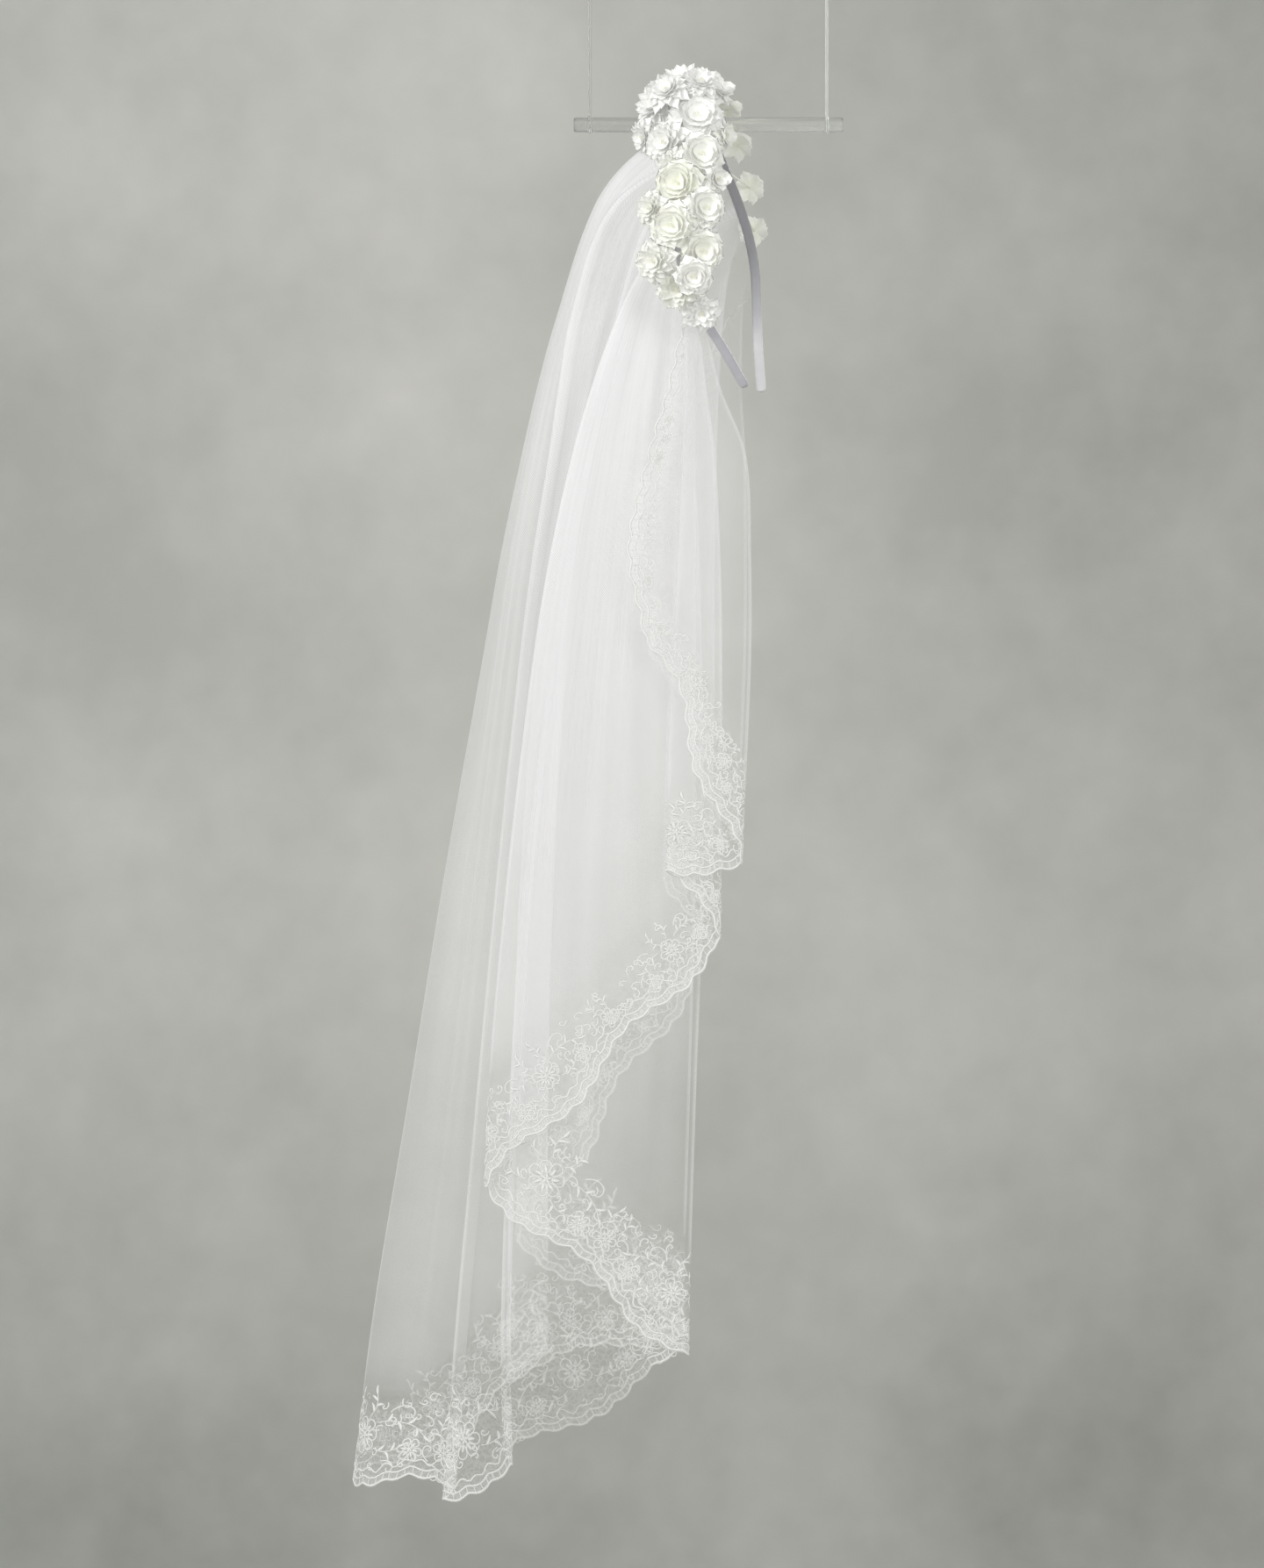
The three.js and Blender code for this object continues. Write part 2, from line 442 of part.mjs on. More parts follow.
// One flower in its own frame: a ring of petals about a low core, cupped a little.
// Each petal is given by its turn and reach at a few places from one notch to the next.
const PETAL_FORMS = {
  pointed: [[0, 0.6], [0.34, 0.8], [0.5, 1], [0.66, 0.8]],
  round: [[0, 0.66], [0.2, 0.93], [0.5, 1], [0.8, 0.93]],
};
function flowerHead(flower) {
  const form = PETAL_FORMS[flower.tip];
  const outline = [];
  for (let n = 0; n < flower.petals; n++)
    for (const [turn, reach] of form) outline.push([((n + turn) / flower.petals) * 2 * Math.PI, reach]);
  const ringOf = (reachOf, height) => outline.map(([angle, reach]) => {
    const r = flower.radius * reachOf(reach);
    return V(r * Math.cos(angle), r * Math.sin(angle), height(r / flower.radius));
  });
  const cup = (share) => PETAL.cup * flower.radius * share ** 2;
  const rings = [
    ringOf(() => PETAL.core, () => PETAL.rise),
    ringOf((reach) => reach, (share) => cup(share) + PETAL.thickness / 2),
    ringOf((reach) => reach, (share) => cup(share) - PETAL.thickness / 2),
  ];
  const count = outline.length, faces = [];
  const points = [...rings.flat(), V(0, 0, PETAL.rise + 0.6), V(0, 0, -PETAL.thickness)];
  for (let k = 0; k < count; k++) {
    const next = (k + 1) % count;
    faces.push(k, next, 3 * count);
    for (const ring of [0, count]) faces.push(ring + next, ring + k, ring + count + k);
    for (const ring of [0, count]) faces.push(ring + next, ring + count + k, ring + count + next);
    faces.push(2 * count + next, 2 * count + k, 3 * count + 1);
  }
  return closed(points, faces);
}

function flowerSolid(flower) {
  const centre = V(flower.x, flower.y, flower.z);
  const facing = V(...flower.face).normalize();
  const head = flowerHead(flower);
  head.applyQuaternion(new THREE.Quaternion().setFromUnitVectors(V(0, 0, 1), facing));
  head.translate(flower.x, flower.y, flower.z);
  // The wire runs from the core to just off the band's outer face.
  const { point, out } = bandAxes(flower.band);
  const reach = new THREE.Vector3().subVectors(centre, point).normalize();
  const slant = Math.sqrt(1 - Math.min(1, reach.dot(out) ** 2));
  const foot = point.clone().addScaledVector(out, BAND.thickness / 2 + SEAM + (WIRE / 2) * slant + 0.1);
  const side = new THREE.Vector3().crossVectors(reach, V(0.1, 0.2, 1)).normalize();
  const other = new THREE.Vector3().crossVectors(reach, side);
  const wire = bar([foot, centre].map((place) => ({ point: place, across: side, out: other })),
    ring(WIRE, WIRE, 5));
  return fromSolid(solid(head).add(solid(wire)));
}
FLOWERS.forEach((flower, n) => add("flower_" + String(n + 1).padStart(2, "0"), flowerSolid(flower), "petal"));

export default group;
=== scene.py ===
# %% [markdown]
# # A child's bridal veil on a flowered headband
# The real thing is one big piece of tulle, edged with lace, gathered to a slim satin band and hung up for
# show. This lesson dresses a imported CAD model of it: the model gives the folds, the hem and the band, and
# each step here makes one piece or one finish on that form. All sizes are real ones, turned into metres as
# they are used.

# %% Load the frame
import math
import random
from bisect import bisect_right

import bpy
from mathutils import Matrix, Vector


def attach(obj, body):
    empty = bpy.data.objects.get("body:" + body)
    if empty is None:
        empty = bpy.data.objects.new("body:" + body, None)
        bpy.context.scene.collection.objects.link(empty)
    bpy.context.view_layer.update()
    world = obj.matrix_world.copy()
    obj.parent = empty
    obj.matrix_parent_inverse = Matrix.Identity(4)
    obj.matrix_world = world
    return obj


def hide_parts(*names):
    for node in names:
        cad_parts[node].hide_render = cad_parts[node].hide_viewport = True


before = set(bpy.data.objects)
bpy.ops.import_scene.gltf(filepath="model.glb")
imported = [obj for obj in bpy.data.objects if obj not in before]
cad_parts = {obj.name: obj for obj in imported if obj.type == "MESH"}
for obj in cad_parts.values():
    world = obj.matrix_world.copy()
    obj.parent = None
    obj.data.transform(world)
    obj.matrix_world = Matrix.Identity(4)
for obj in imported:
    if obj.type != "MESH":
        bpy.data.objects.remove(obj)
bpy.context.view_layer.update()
MM = 0.001

# %% [markdown]
# ## The camera
# The photograph looks straight at the veil from its side, level and from far away, so upright lines stay
# upright. A long lens five metres off does that. Its length follows from the size of the picture at the
# veil.

# %% Camera
PHOTO = {"wide": 1440, "high": 1787, "pixel": 0.00045}
VIEW_CENTRE = Vector((-0.03915, 0, -0.4075))
DISTANCE = 5.0
SENSOR = 24
camera = bpy.data.objects.new("camera", bpy.data.cameras.new("camera"))
bpy.context.scene.collection.objects.link(camera)
camera.location = VIEW_CENTRE - Vector((0, DISTANCE, 0))
camera.rotation_euler = (math.radians(90), 0, 0)
camera.data.sensor_fit = "VERTICAL"
camera.data.sensor_height = SENSOR
camera.data.lens = SENSOR * DISTANCE / (PHOTO["high"] * PHOTO["pixel"])
camera.data.clip_end = 50
bpy.context.scene.camera = camera
print("lens", round(camera.data.lens, 1), "mm")

# %% [markdown]
# ## Shader maths as Python
# A finish is a small net of nodes. Wrapping a socket in a class lets the maths be written as it is read:
# adding, scaling and taking the cosine of a value each add one Math node. Colours are mixed with a Mix node
# instead, because a Math node would turn them grey.

# %% Sockets that can be added and multiplied
class Value:
    def __init__(self, finish, socket):
        self.finish, self.socket = finish, socket

    def maths(self, operation, *terms, clamp=False):
        return self.finish.node("ShaderNodeMath", {"operation": operation, "use_clamp": clamp},
                                dict(enumerate(terms)))

    def __add__(self, other): return self.maths("ADD", self, other)
    def __sub__(self, other): return self.maths("SUBTRACT", self, other)
    def __rsub__(self, other): return self.maths("SUBTRACT", other, self)
    def __mul__(self, other): return self.maths("MULTIPLY", self, other)
    def __truediv__(self, other): return self.maths("DIVIDE", self, other)
    def __pow__(self, other): return self.maths("POWER", self, other)
    __radd__, __rmul__ = __add__, __mul__

    def cosine(self): return self.maths("COSINE", self)
    def limited(self): return self.maths("ADD", self, 0, clamp=True)
    def above(self, low, high): return ((self - low) / (high - low)).limited()


class Finish:
    """A material, with one method that adds any node."""
    def __init__(self, name):
        self.material = bpy.data.materials.new(name)
        self.material.use_nodes = True
        self.tree = self.material.node_tree
        self.tree.nodes.clear()

    def node(self, kind, settings=None, sockets=None, out=0):
        made = self.tree.nodes.new(kind)
        for key, value in (settings or {}).items():
            setattr(made, key, value)
        for key, value in (sockets or {}).items():
            if isinstance(value, Value):
                self.tree.links.new(value.socket, made.inputs[key])
            else:
                made.inputs[key].default_value = value
        return Value(self, made.outputs[out]) if made.outputs else made

    def place(self):
        """Where a point is on its cloth, in metres: along it and down it."""
        spot = self.node("ShaderNodeUVMap", {"uv_map": "cloth"})
        parts = self.tree.nodes.new("ShaderNodeSeparateXYZ")
        self.tree.links.new(spot.socket, parts.inputs[0])
        return spot, Value(self, parts.outputs[0]), Value(self, parts.outputs[1])

    def worn(self, name):
        """A number that the mesh carries, such as how thick the gathers are there."""
        return self.node("ShaderNodeAttribute", {"attribute_name": name}, out="Fac")

    def mixed(self, share, first, second):
        return self.node("ShaderNodeMix", {"data_type": "RGBA"}, {0: share, 6: first, 7: second}, out=2)

    def noise(self, scale, detail, **sockets):
        return self.node("ShaderNodeTexNoise", None, {"Scale": scale, "Detail": detail, **sockets})

    def bump(self, height, distance, strength=1.0):
        sockets = {"Strength": strength, "Distance": distance, "Height": height}
        return self.node("ShaderNodeBump", None, sockets)

    def done(self, sockets):
        skin = self.node("ShaderNodeBsdfPrincipled", None, sockets)
        self.node("ShaderNodeOutputMaterial", None, {"Surface": skin})
        return self.material


def rgb(r, g, b):
    """A colour as a screen shows it, out of 255, made linear."""
    return tuple(((c / 255 + 0.055) / 1.055) ** 2.4 if c > 10 else c / 3294.6 for c in (r, g, b)) + (1,)


# %% [markdown]
# ## Pieces
# Every piece but the two lines is a mesh made here. This helper makes one, gives it its finish, hides the
# CAD node it stands for, and lets it ride on the one body that the veil has.

# %% Making a piece
def piece(name, points, faces, materials, slot, replaces=(), looks=None, uv=None, numbers=None):
    mesh = bpy.data.meshes.new(name)
    mesh.from_pydata([tuple(p) for p in points], [], faces)
    for material in materials:
        mesh.materials.append(material)
    if looks:
        mesh.polygons.foreach_set("material_index", looks)
    mesh.polygons.foreach_set("use_smooth", [True] * len(mesh.polygons))
    if uv:
        layer = mesh.uv_layers.new(name="cloth")
        corners = [0] * len(mesh.loops)
        mesh.loops.foreach_get("vertex_index", corners)
        layer.data.foreach_set("uv", [v for n in corners for v in uv[n]])
    for key, values in (numbers or {}).items():
        mesh.attributes.new(key, "FLOAT", "POINT").data.foreach_set("value", values)
    mesh.update()
    made = bpy.data.objects.new(name, mesh)
    bpy.context.scene.collection.objects.link(made)
    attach(made, "root")
    if replaces:
        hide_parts(*replaces)
    return made


def tube(stations, section):
    """Points and faces of a bar swept along stations of (point, across, out), closed at its ends."""
    points, faces, sides = [], [], len(section)
    for n, (point, across, out) in enumerate(stations):
        shape = section(n) if callable(section) else section
        points += [point + across * u + out * v for u, v in shape]
    for n in range(len(stations) - 1):
        for k in range(sides):
            a, b = n * sides + k, n * sides + (k + 1) % sides
            faces.append((a, b, b + sides, a + sides))
    faces += [tuple(reversed(range(sides))), tuple(range(len(points) - sides, len(points)))]
    return points, faces


def joined(parts):
    points, faces = [], []
    for some, corners in parts:
        start = len(points)
        points += some
        faces += [tuple(start + c for c in face) for face in corners]
    return points, faces


def circle(radius, sides):
    angles = [2 * math.pi * k / sides for k in range(sides)]
    return [(radius * math.cos(a), radius * math.sin(a)) for a in angles]


# %% [markdown]
# ## The clear hanger
# Two clear lines come down to a clear rod that passes under the arch of the band. Clear plastic shows
# mostly by its edges, so it gets full transmission with a little roughness. The line on the right is seen
# far better in the photograph, so its plastic is a little milky. Each line ends above in a small tied loop,
# and below in two turns about the rod.

# %% Clear plastic
clear = Finish("clear_plastic")
haze = clear.noise(900.0, 2.0)
clear_plastic = clear.done({"Base Color": (0.93, 0.94, 0.93, 1), "Roughness": 0.04 + haze * 0.06, "IOR": 1.45,
                            "Transmission Weight": 1.0, "Normal": clear.bump(haze, 0.00004)})

milk = Finish("line_plastic")
dust = milk.noise(500.0, 2.0)
line_plastic = milk.done({"Base Color": (0.9, 0.91, 0.9, 1), "Roughness": 0.3 + dust * 0.15, "IOR": 1.2,
                          "Transmission Weight": 0.8, "Normal": milk.bump(dust, 0.000008)})

# %% The two lines, each a cord
ROD = {"length": 138 * MM, "radius": 3.8 * MM, "height": -69.5 * MM}
LINE = {"radius": 0.8 * MM, "across": 0.06075, "foot": -0.0654, "top": -0.0045, "steps": 15}
LOOP = {"radius": 3.2 * MM, "thread": 0.45 * MM}


def ring_about(centre, axis, other, radius, thread, turns=1, pitch=0.0, steps=28):
    """A thread wound in a circle, as points and faces."""
    rise = axis.cross(other)
    stations = []
    for n in range(int(steps * turns) + 1):
        a = 2 * math.pi * n / steps
        spoke = axis * math.cos(a) + other * math.sin(a)
        stations.append((centre + spoke * radius + rise * pitch * n / steps, spoke, rise))
    return tube(stations, circle(thread, 8))


X, Y, Z = Vector((1, 0, 0)), Vector((0, 1, 0)), Vector((0, 0, 1))
for name, side, finish in (("left", -1, clear_plastic), ("right", 1, line_plastic)):
    x = side * LINE["across"]
    curve = bpy.data.curves.new("line_" + name, "CURVE")
    curve.dimensions, curve.bevel_depth, curve.bevel_resolution = "3D", LINE["radius"], 4
    curve.use_fill_caps = True
    strand = curve.splines.new("POLY")
    strand.points.add(LINE["steps"])
    for n, point in enumerate(strand.points):
        point.co = (x, 0, LINE["foot"] + (LINE["top"] - LINE["foot"]) * n / LINE["steps"], 1)
    curve.materials.append(finish)
    line = bpy.data.objects.new("line_" + name, curve)
    bpy.context.scene.collection.objects.link(line)
    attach(line, "root")
    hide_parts("hanger_line_" + name)
    eye = Vector((x, 0, LINE["top"] + LOOP["radius"]))
    knot = Vector((x, 0, LINE["top"]))
    loop = piece("line_loop_" + name, *joined([
        ring_about(eye, X, Z, LOOP["radius"], LOOP["thread"]),
        ring_about(knot - Z * 0.0006, X, Y, LINE["radius"] * 1.15, LOOP["thread"], turns=3, pitch=0.0007)]),
        [finish], "clear")
    tie = piece("line_tie_" + name, *ring_about(Vector((x - 0.0008, 0, ROD["height"])), Y, Z,
                ROD["radius"] + 0.5 * MM, 0.4 * MM, turns=2, pitch=0.0009), [finish], "clear")

# %% The rod
stations = []
for share, size in ((0, 0.82), (0.004, 0.95), (0.01, 1), (0.5, 1), (0.99, 1), (0.996, 0.95), (1, 0.82)):
    stations.append((Vector(((share - 0.5) * ROD["length"], 0, ROD["height"])), Y * size, Z * size))
rod = piece("rod", *tube(stations, circle(ROD["radius"], 48)), [clear_plastic], "clear", ["hanger_rod"])
print("rod", round(rod.dimensions.x / MM), "mm long")

# %% [markdown]
# ## Floor, wall and light
# The veil hangs in front of a mottled grey wall. Most of it is see-through, so the wall is half of how it
# looks, and its grey is set first. Over its own mottle the wall carries painted shade: darker towards the
# floor and towards both sides, most on the right, and the floor is painted a little darker to each side.
# One large soft light stands at the upper left, like a window. A weaker one fills from the lower right, a
# third stands behind for the far side, and a pale world fills the shadows. From behind, the wall lets the
# view through, so the back of the veil can be seen.

# %% Wall and floor
CLOUDS = (0.35, 0, 0.1)


def mottle_and_painted_shade(name, dark, light, size, see_through=False):
    wall = Finish(name)
    spot = wall.node("ShaderNodeTexCoord", None, None, out="Object")
    moved = wall.node("ShaderNodeVectorMath", {"operation": "ADD"}, {0: spot, 1: CLOUDS})
    cloud = wall.noise(size, 5.0, Vector=moved, Roughness=0.62)
    speck = wall.noise(size * 9, 3.0, Vector=spot)
    across = wall.node("ShaderNodeSeparateXYZ", None, {0: spot})
    up = Value(wall, across.socket.node.outputs[2])
    # The clouds and specks are the plaster's own mottle; the terms by height and by side are painted shade,
    # darker towards the floor and towards both sides.
    share = (cloud * 0.85 + speck * 0.15).above(0.36, 0.66) * 0.32 + 0.08 + up.above(-0.9, -0.55) * 0.42 \
        - across.above(-0.2, 0.6) * up.above(-0.9, 0.2) * 0.5 - across.above(-0.2, -0.45) * 0.2 \
        - across.above(0.12, 0.3) * 0.18
    skin = wall.node("ShaderNodeBsdfPrincipled", None, {
        "Base Color": wall.mixed(share.limited(), dark, light), "Roughness": 0.95,
        "Normal": wall.bump(speck, 0.002, 0.3)})
    if see_through:
        behind = wall.node("ShaderNodeNewGeometry", None, None, out="Backfacing")
        air = wall.node("ShaderNodeBsdfTransparent")
        skin = wall.node("ShaderNodeMixShader", None, {0: behind, 1: skin, 2: air})
    wall.node("ShaderNodeOutputMaterial", None, {"Surface": skin})
    return wall.material


def board(name, corners, material):
    mesh = bpy.data.meshes.new(name)
    mesh.from_pydata(corners, [], [(0, 1, 2, 3)])
    mesh.materials.append(material)
    made = bpy.data.objects.new(name, mesh)
    bpy.context.scene.collection.objects.link(made)
    made.visible_shadow = False
    return made


WALL_Y, FLOOR_Z, ROOM = 1.5, -1.0, 7
board("wall", [(-2.4, WALL_Y, FLOOR_Z), (2.4, WALL_Y, FLOOR_Z), (2.4, WALL_Y, 1.8), (-2.4, WALL_Y, 1.8)],
      mottle_and_painted_shade("plaster", rgb(141, 142, 137), rgb(204, 204, 199), 3.4, see_through=True))
board("floor", [(x * ROOM, y * ROOM, FLOOR_Z) for x, y in ((-1, -1), (1, -1), (1, 1), (-1, 1))],
      mottle_and_painted_shade("pale_floor", rgb(182, 182, 178), rgb(194, 194, 190), 3.0))

# %% Light
def soft_light(name, place, aim, size, power):
    lamp = bpy.data.lights.new(name, "AREA")
    lamp.shape, lamp.size, lamp.energy = "DISK", size, power
    made = bpy.data.objects.new(name, lamp)
    bpy.context.scene.collection.objects.link(made)
    made.location = place
    made.rotation_euler = (Vector(aim) - Vector(place)).to_track_quat("-Z", "Y").to_euler()
    made.visible_camera = False


soft_light("window", (-4.2, -4.6, 2.2), (-0.03, 0, -0.4), 4.0, 285)
soft_light("low_fill", (3.6, -5.0, 1.0), (-0.03, 0, -0.5), 3.0, 105)
soft_light("behind", (3.0, 4.6, 1.6), (-0.03, 0, -0.4), 3.0, 190)
world = bpy.data.worlds.new("pale_room")
world.use_nodes = True
world.node_tree.nodes["Background"].inputs[0].default_value = (1, 1, 0.98, 1)
world.node_tree.nodes["Background"].inputs[1].default_value = 0.5
bpy.context.scene.world = world
bpy.context.scene.view_settings.view_transform = "Standard"
if hasattr(bpy.context.scene, "cycles"):
    bpy.context.scene.cycles.transparent_max_bounces = 48

# %% [markdown]
# ## The form of the cloth
# The cloth is one sheet, gathered to the band and folded back on itself again and again. Each row below is
# a line down the cloth where it turns or where a seam runs, in order from the near free edge to the far
# one. It is the same form as the CAD model's, in millimetres, so the fine cloth lies on the plain one.

# %% Folds of the cloth
LEVELS = [-75, -110, -170, -205, -240, -290, -345, -455, -570, -680, -770]
FOLDS = []


def fold(name, side, band, depth, lift, hem, lace, steps, x, round_=1.5, nose=(2.2, 2.2), turn=3,
         sheer=0.022, drawn=0.06, pressed=0.42):
    FOLDS.append({"name": name, "side": side, "band": band, "depth": depth, "lift": lift, "hem": hem,
                  "lace": lace, "steps": steps, "x": x, "round": round_, "nose": nose, "turn": turn,
                  "sheer": sheer, "drawn": drawn, "pressed": pressed})


EDGE = {"round_": 0, "nose": (0, 0), "turn": 0}
fold("near_edge", 0, 0.144, -50.6, 10, -333, 42, 2,
     (-11, -11, -16, -21, -31, -41, -30, -28, -28, -28, -28), **EDGE)
fold("near_seam", 0, 0.162, -49, 10, -380, 46, 3,
     (-8, -8, -10, -10, -12, -14, -12, -10, -10, -10, -10), **EDGE)
fold("R1", 1, 0.18, -47.6, 11, -451, 46, 3, (-2, -2, 0, 6, 19, 21.5, 21.5, 17, 16, 16, 16))
fold("L1", -1, 0.203, -44.4, 11, -449, 38, 3, (-12, -12, -13, -13, -14, -16, -19, -22.5, -24, -24, -24))
fold("R2", 1, 0.228, -41.2, 12, -487, 42, 5, (-6, -6, -4, -1, 3.5, 6, 7, 6.5, 6, 6, 6), drawn=0.18)
fold("L2", -1, 0.26, -38, 12, -612, 64, 6, (-20, -26, -48, -60, -70, -81, -90, -103, -113, -116, -117),
     sheer=0.04, drawn=0.66)
fold("R3", 1, 0.293, -34.8, 12, -699, 54, 6, (-14, -14, -12, -9, -7, -4.5, -3, -2.5, -6.5, -9.5, -9),
     sheer=0, drawn=0.22)
fold("strip_left", -1, 0.325, -31.6, 11, -750, 52, 1,
     (-20, -32, -48, -57, -64, -73, -80.5, -94.5, -102, -106, -105), sheer=0.07, drawn=0.5)
fold("strip_right", 1, 0.337, -28.4, 11, -754, 54, 3,
     (-14, -25, -41, -50, -57, -66, -74, -88.5, -96.5, -100.5, -99), sheer=0.06, drawn=0.62)
fold("pleat_left", -1, 0.366, -25.2, 9, -772, 60, 1,
     (-24, -52, -71, -77, -82, -90, -97, -108.5, -119, -129, -136), sheer=0.03, drawn=0.55, pressed=0.5)
fold("pleat_right", 1, 0.379, -22, 9, -770, 60, 5,
     (-18, -45, -64, -70, -75, -83, -90, -101.5, -112, -122, -129), sheer=0.035, drawn=0.55, pressed=0.08)
fold("back", -1, 0.5, 0, 4, -762, 48, 5, (-33, -58, -78.5, -88, -96, -106.5, -116, -135.5, -154, -172, -183),
     round_=17, nose=(5, 26), turn=14, sheer=0.1, drawn=0.62)
fold("far_R4", 1, 0.618, 22, 9, -702, 55, 2, (-14, -34, -54, -60, -65, -69, -73, -79, -82, -82, -82),
     sheer=0.08, drawn=0.62)
fold("far_L3", -1, 0.645, 25.6, 10, -712, 54, 5, (-20, -44, -64, -70, -76, -83, -89, -97, -102, -104, -104),
     sheer=0.02, drawn=0.62)
fold("far_R3", 1, 0.685, 29.4, 12, -690, 54, 5, (8, 6, -4, -6, -6, -6, -6, -6, -9, -12, -12),
     sheer=0, drawn=0.22)
fold("far_L2", -1, 0.722, 33.2, 12, -646, 60, 5, (0, -10, -42, -55, -64, -74, -82, -92, -98, -100, -100),
     sheer=0.02, drawn=0.55)
fold("far_R2", 1, 0.757, 37, 12, -494, 42, 3, (12, 12, 8, 6, 5, 4, 4, 3, 3, 3, 3), drawn=0.25)
fold("far_L1", -1, 0.788, 40.8, 12, -452, 38, 3, (10, 8, -6, -12, -16, -18, -20, -24, -24, -24, -24))
fold("far_R1", 1, 0.813, 44.6, 11, -440, 46, 4, (18, 18, 18, 18, 20, 20.5, 20, 16, 16, 16, 16))
fold("far_seam", 0, 0.834, 47.2, 11, -382, 46, 2, (16, 14, 9, 3, -5, -9, -10, -10, -10, -10, -10), **EDGE)
fold("far_edge", 0, 0.847, 48, 11, -338, 42, 0, (14, 10, 3, -8, -21, -33, -28, -26, -26, -26, -26), **EDGE)
print(len(FOLDS), "lines down the cloth")

# %% The middle line of the headband
BAND = {"width": 5, "thickness": 2.2}
BAND_ROUTE = [Vector(p) for p in (
    (18.5, -29, -205), (6.8, -44.5, -185.5), (-0.5, -52, -174), (-5, -56.5, -160.5), (-13, -59, -146),
    (-16.5, -59.5, -122.5), (-15, -54, -106.5), (-11.5, -43, -90), (-7.5, -24, -73), (-4, 0, -64.1),
    (1, 24, -72.5), (8, 43, -88), (15, 54, -104), (21, 59.5, -122), (24.5, 60, -140), (25.5, 56.5, -160.5),
    (26, 47, -180), (27.5, 30, -205))]


def through(points, t):
    """A smooth curve through points, with the spread of its bends set by the root of the distances."""
    last = len(points) - 1
    k = min(int(t * last), last - 1)
    w = t * last - k
    a = points[k - 1] if k else points[0] * 2 - points[1]
    b, c = points[k], points[k + 1]
    d = points[k + 2] if k + 2 <= last else points[last] * 2 - points[last - 1]
    ab, bc, cd = ((q - p).length ** 0.5 for p, q in ((a, b), (b, c), (c, d)))
    m0 = ((b - a) / ab - (c - a) / (ab + bc) + (c - b) / bc) * bc
    m1 = ((c - b) / bc - (d - b) / (bc + cd) + (d - c) / cd) * bc
    return b + m0 * w + (c * 3 - b * 3 - m0 * 2 - m1) * w ** 2 + (b * 2 - c * 2 + m0 + m1) * w ** 3


BAND_STEPS = 400
BAND_FINE = [through(BAND_ROUTE, n / BAND_STEPS) for n in range(BAND_STEPS + 1)]
BAND_REACH = [0.0]
for before, after in zip(BAND_FINE, BAND_FINE[1:]):
    BAND_REACH.append(BAND_REACH[-1] + (after - before).length)


def band_point(place):
    reach = max(0.0, min(1.0, place)) * BAND_REACH[-1]
    low = bisect_right(BAND_REACH, reach, 1, BAND_STEPS) - 1
    share = (reach - BAND_REACH[low]) / (BAND_REACH[low + 1] - BAND_REACH[low])
    return BAND_FINE[low].lerp(BAND_FINE[low + 1], share)


def band_axes(place):
    """The band at a place: its point, the way across its width, and the way out from the head."""
    tangent = (band_point(place + 0.002) - band_point(place - 0.002)).normalized()
    across = (X - tangent * tangent.x).normalized()
    return band_point(place), across, across.cross(tangent)


print("band", round(BAND_REACH[-1]), "mm along")

# %% Where a point of the sheet hangs
FLARE = {"share": 0.42, "from": -170, "to": -770}
SPREAD_DROP = 6
ROD_DIP = {"drop": 12.2, "width": 13}
HEADING = 3.55
GATHER = {"height": 0.3, "opens": 6, "fades": 50, "columns": 4}


def mix(a, b, t):
    return a + (b - a) * t


def ease(t):
    t = max(0.0, min(1.0, t))
    return t * t * (3 - 2 * t)


def along(values, z):
    last = len(LEVELS) - 1
    if z >= LEVELS[0]:
        return values[0]
    if z <= LEVELS[last]:
        return values[last]
    k = next(n for n, level in enumerate(LEVELS) if level < z) - 1

    def slope(n):
        a, b = max(n - 1, 0), min(n + 1, last)
        return (values[b] - values[a]) / (LEVELS[b] - LEVELS[a])
    span = LEVELS[k + 1] - LEVELS[k]
    t, h0, h1 = (z - LEVELS[k]) / span, values[k], values[k + 1]
    m0, m1 = slope(k) * span, slope(k + 1) * span
    return (2 * h0 - 2 * h1 + m0 + m1) * t ** 3 + (3 * h1 - 3 * h0 - 2 * m0 - m1) * t ** 2 + m0 * t + h0


def gathered_edge(place):
    point, across, _ = band_axes(place)
    start = point - across * HEADING
    start.z -= ROD_DIP["drop"] * math.exp(-(start.y / ROD_DIP["width"]) ** 2)
    return start


def turn_point(row, angle, z):
    low = ease((FLARE["from"] - z) / (FLARE["from"] - FLARE["to"]))
    x = along(row["x"], z) + row["side"] * mix(*row["nose"], low) * (math.cos(angle) - 1)
    return x, (row["depth"] + row["round"] * math.sin(angle)) * (1 + FLARE["share"] * low)


class Column:
    """A line down the sheet, at a turn or between two of them."""
    def __init__(self, k, share, angle, band, lift, index):
        self.k, self.share, self.angle, self.band, self.lift, self.index = k, share, angle, band, lift, index
        self.top = gathered_edge(band)

    def between(self, key):
        return mix(FOLDS[self.k][key], FOLDS[min(self.k + 1, len(FOLDS) - 1)][key], self.share)

    def hang(self, z):
        z = min(z, self.top.z)
        if self.angle is not None:
            x, y = turn_point(FOLDS[self.k], self.angle, z)
        else:
            x0, y0 = turn_point(FOLDS[self.k], math.pi / 2, z)
            x1, y1 = turn_point(FOLDS[self.k + 1], -math.pi / 2, z)
            x, y = mix(x0, x1, self.share), mix(y0, y1, self.share)
        drop = max(self.top.z - z, 0)
        wave = GATHER["height"] * (1 - math.exp(-drop / GATHER["opens"])) * math.exp(-drop / GATHER["fades"])
        ripple = wave * math.sin(2 * math.pi * self.index / GATHER["columns"] + math.pi / 4)
        y = mix(self.top.y, y, 1 - math.exp(-drop / SPREAD_DROP))
        y += math.copysign(ripple, ripple * (self.top.y or 1))
        return Vector((mix(self.top.x, x, 1 - math.exp(-drop / self.lift)), y, z))


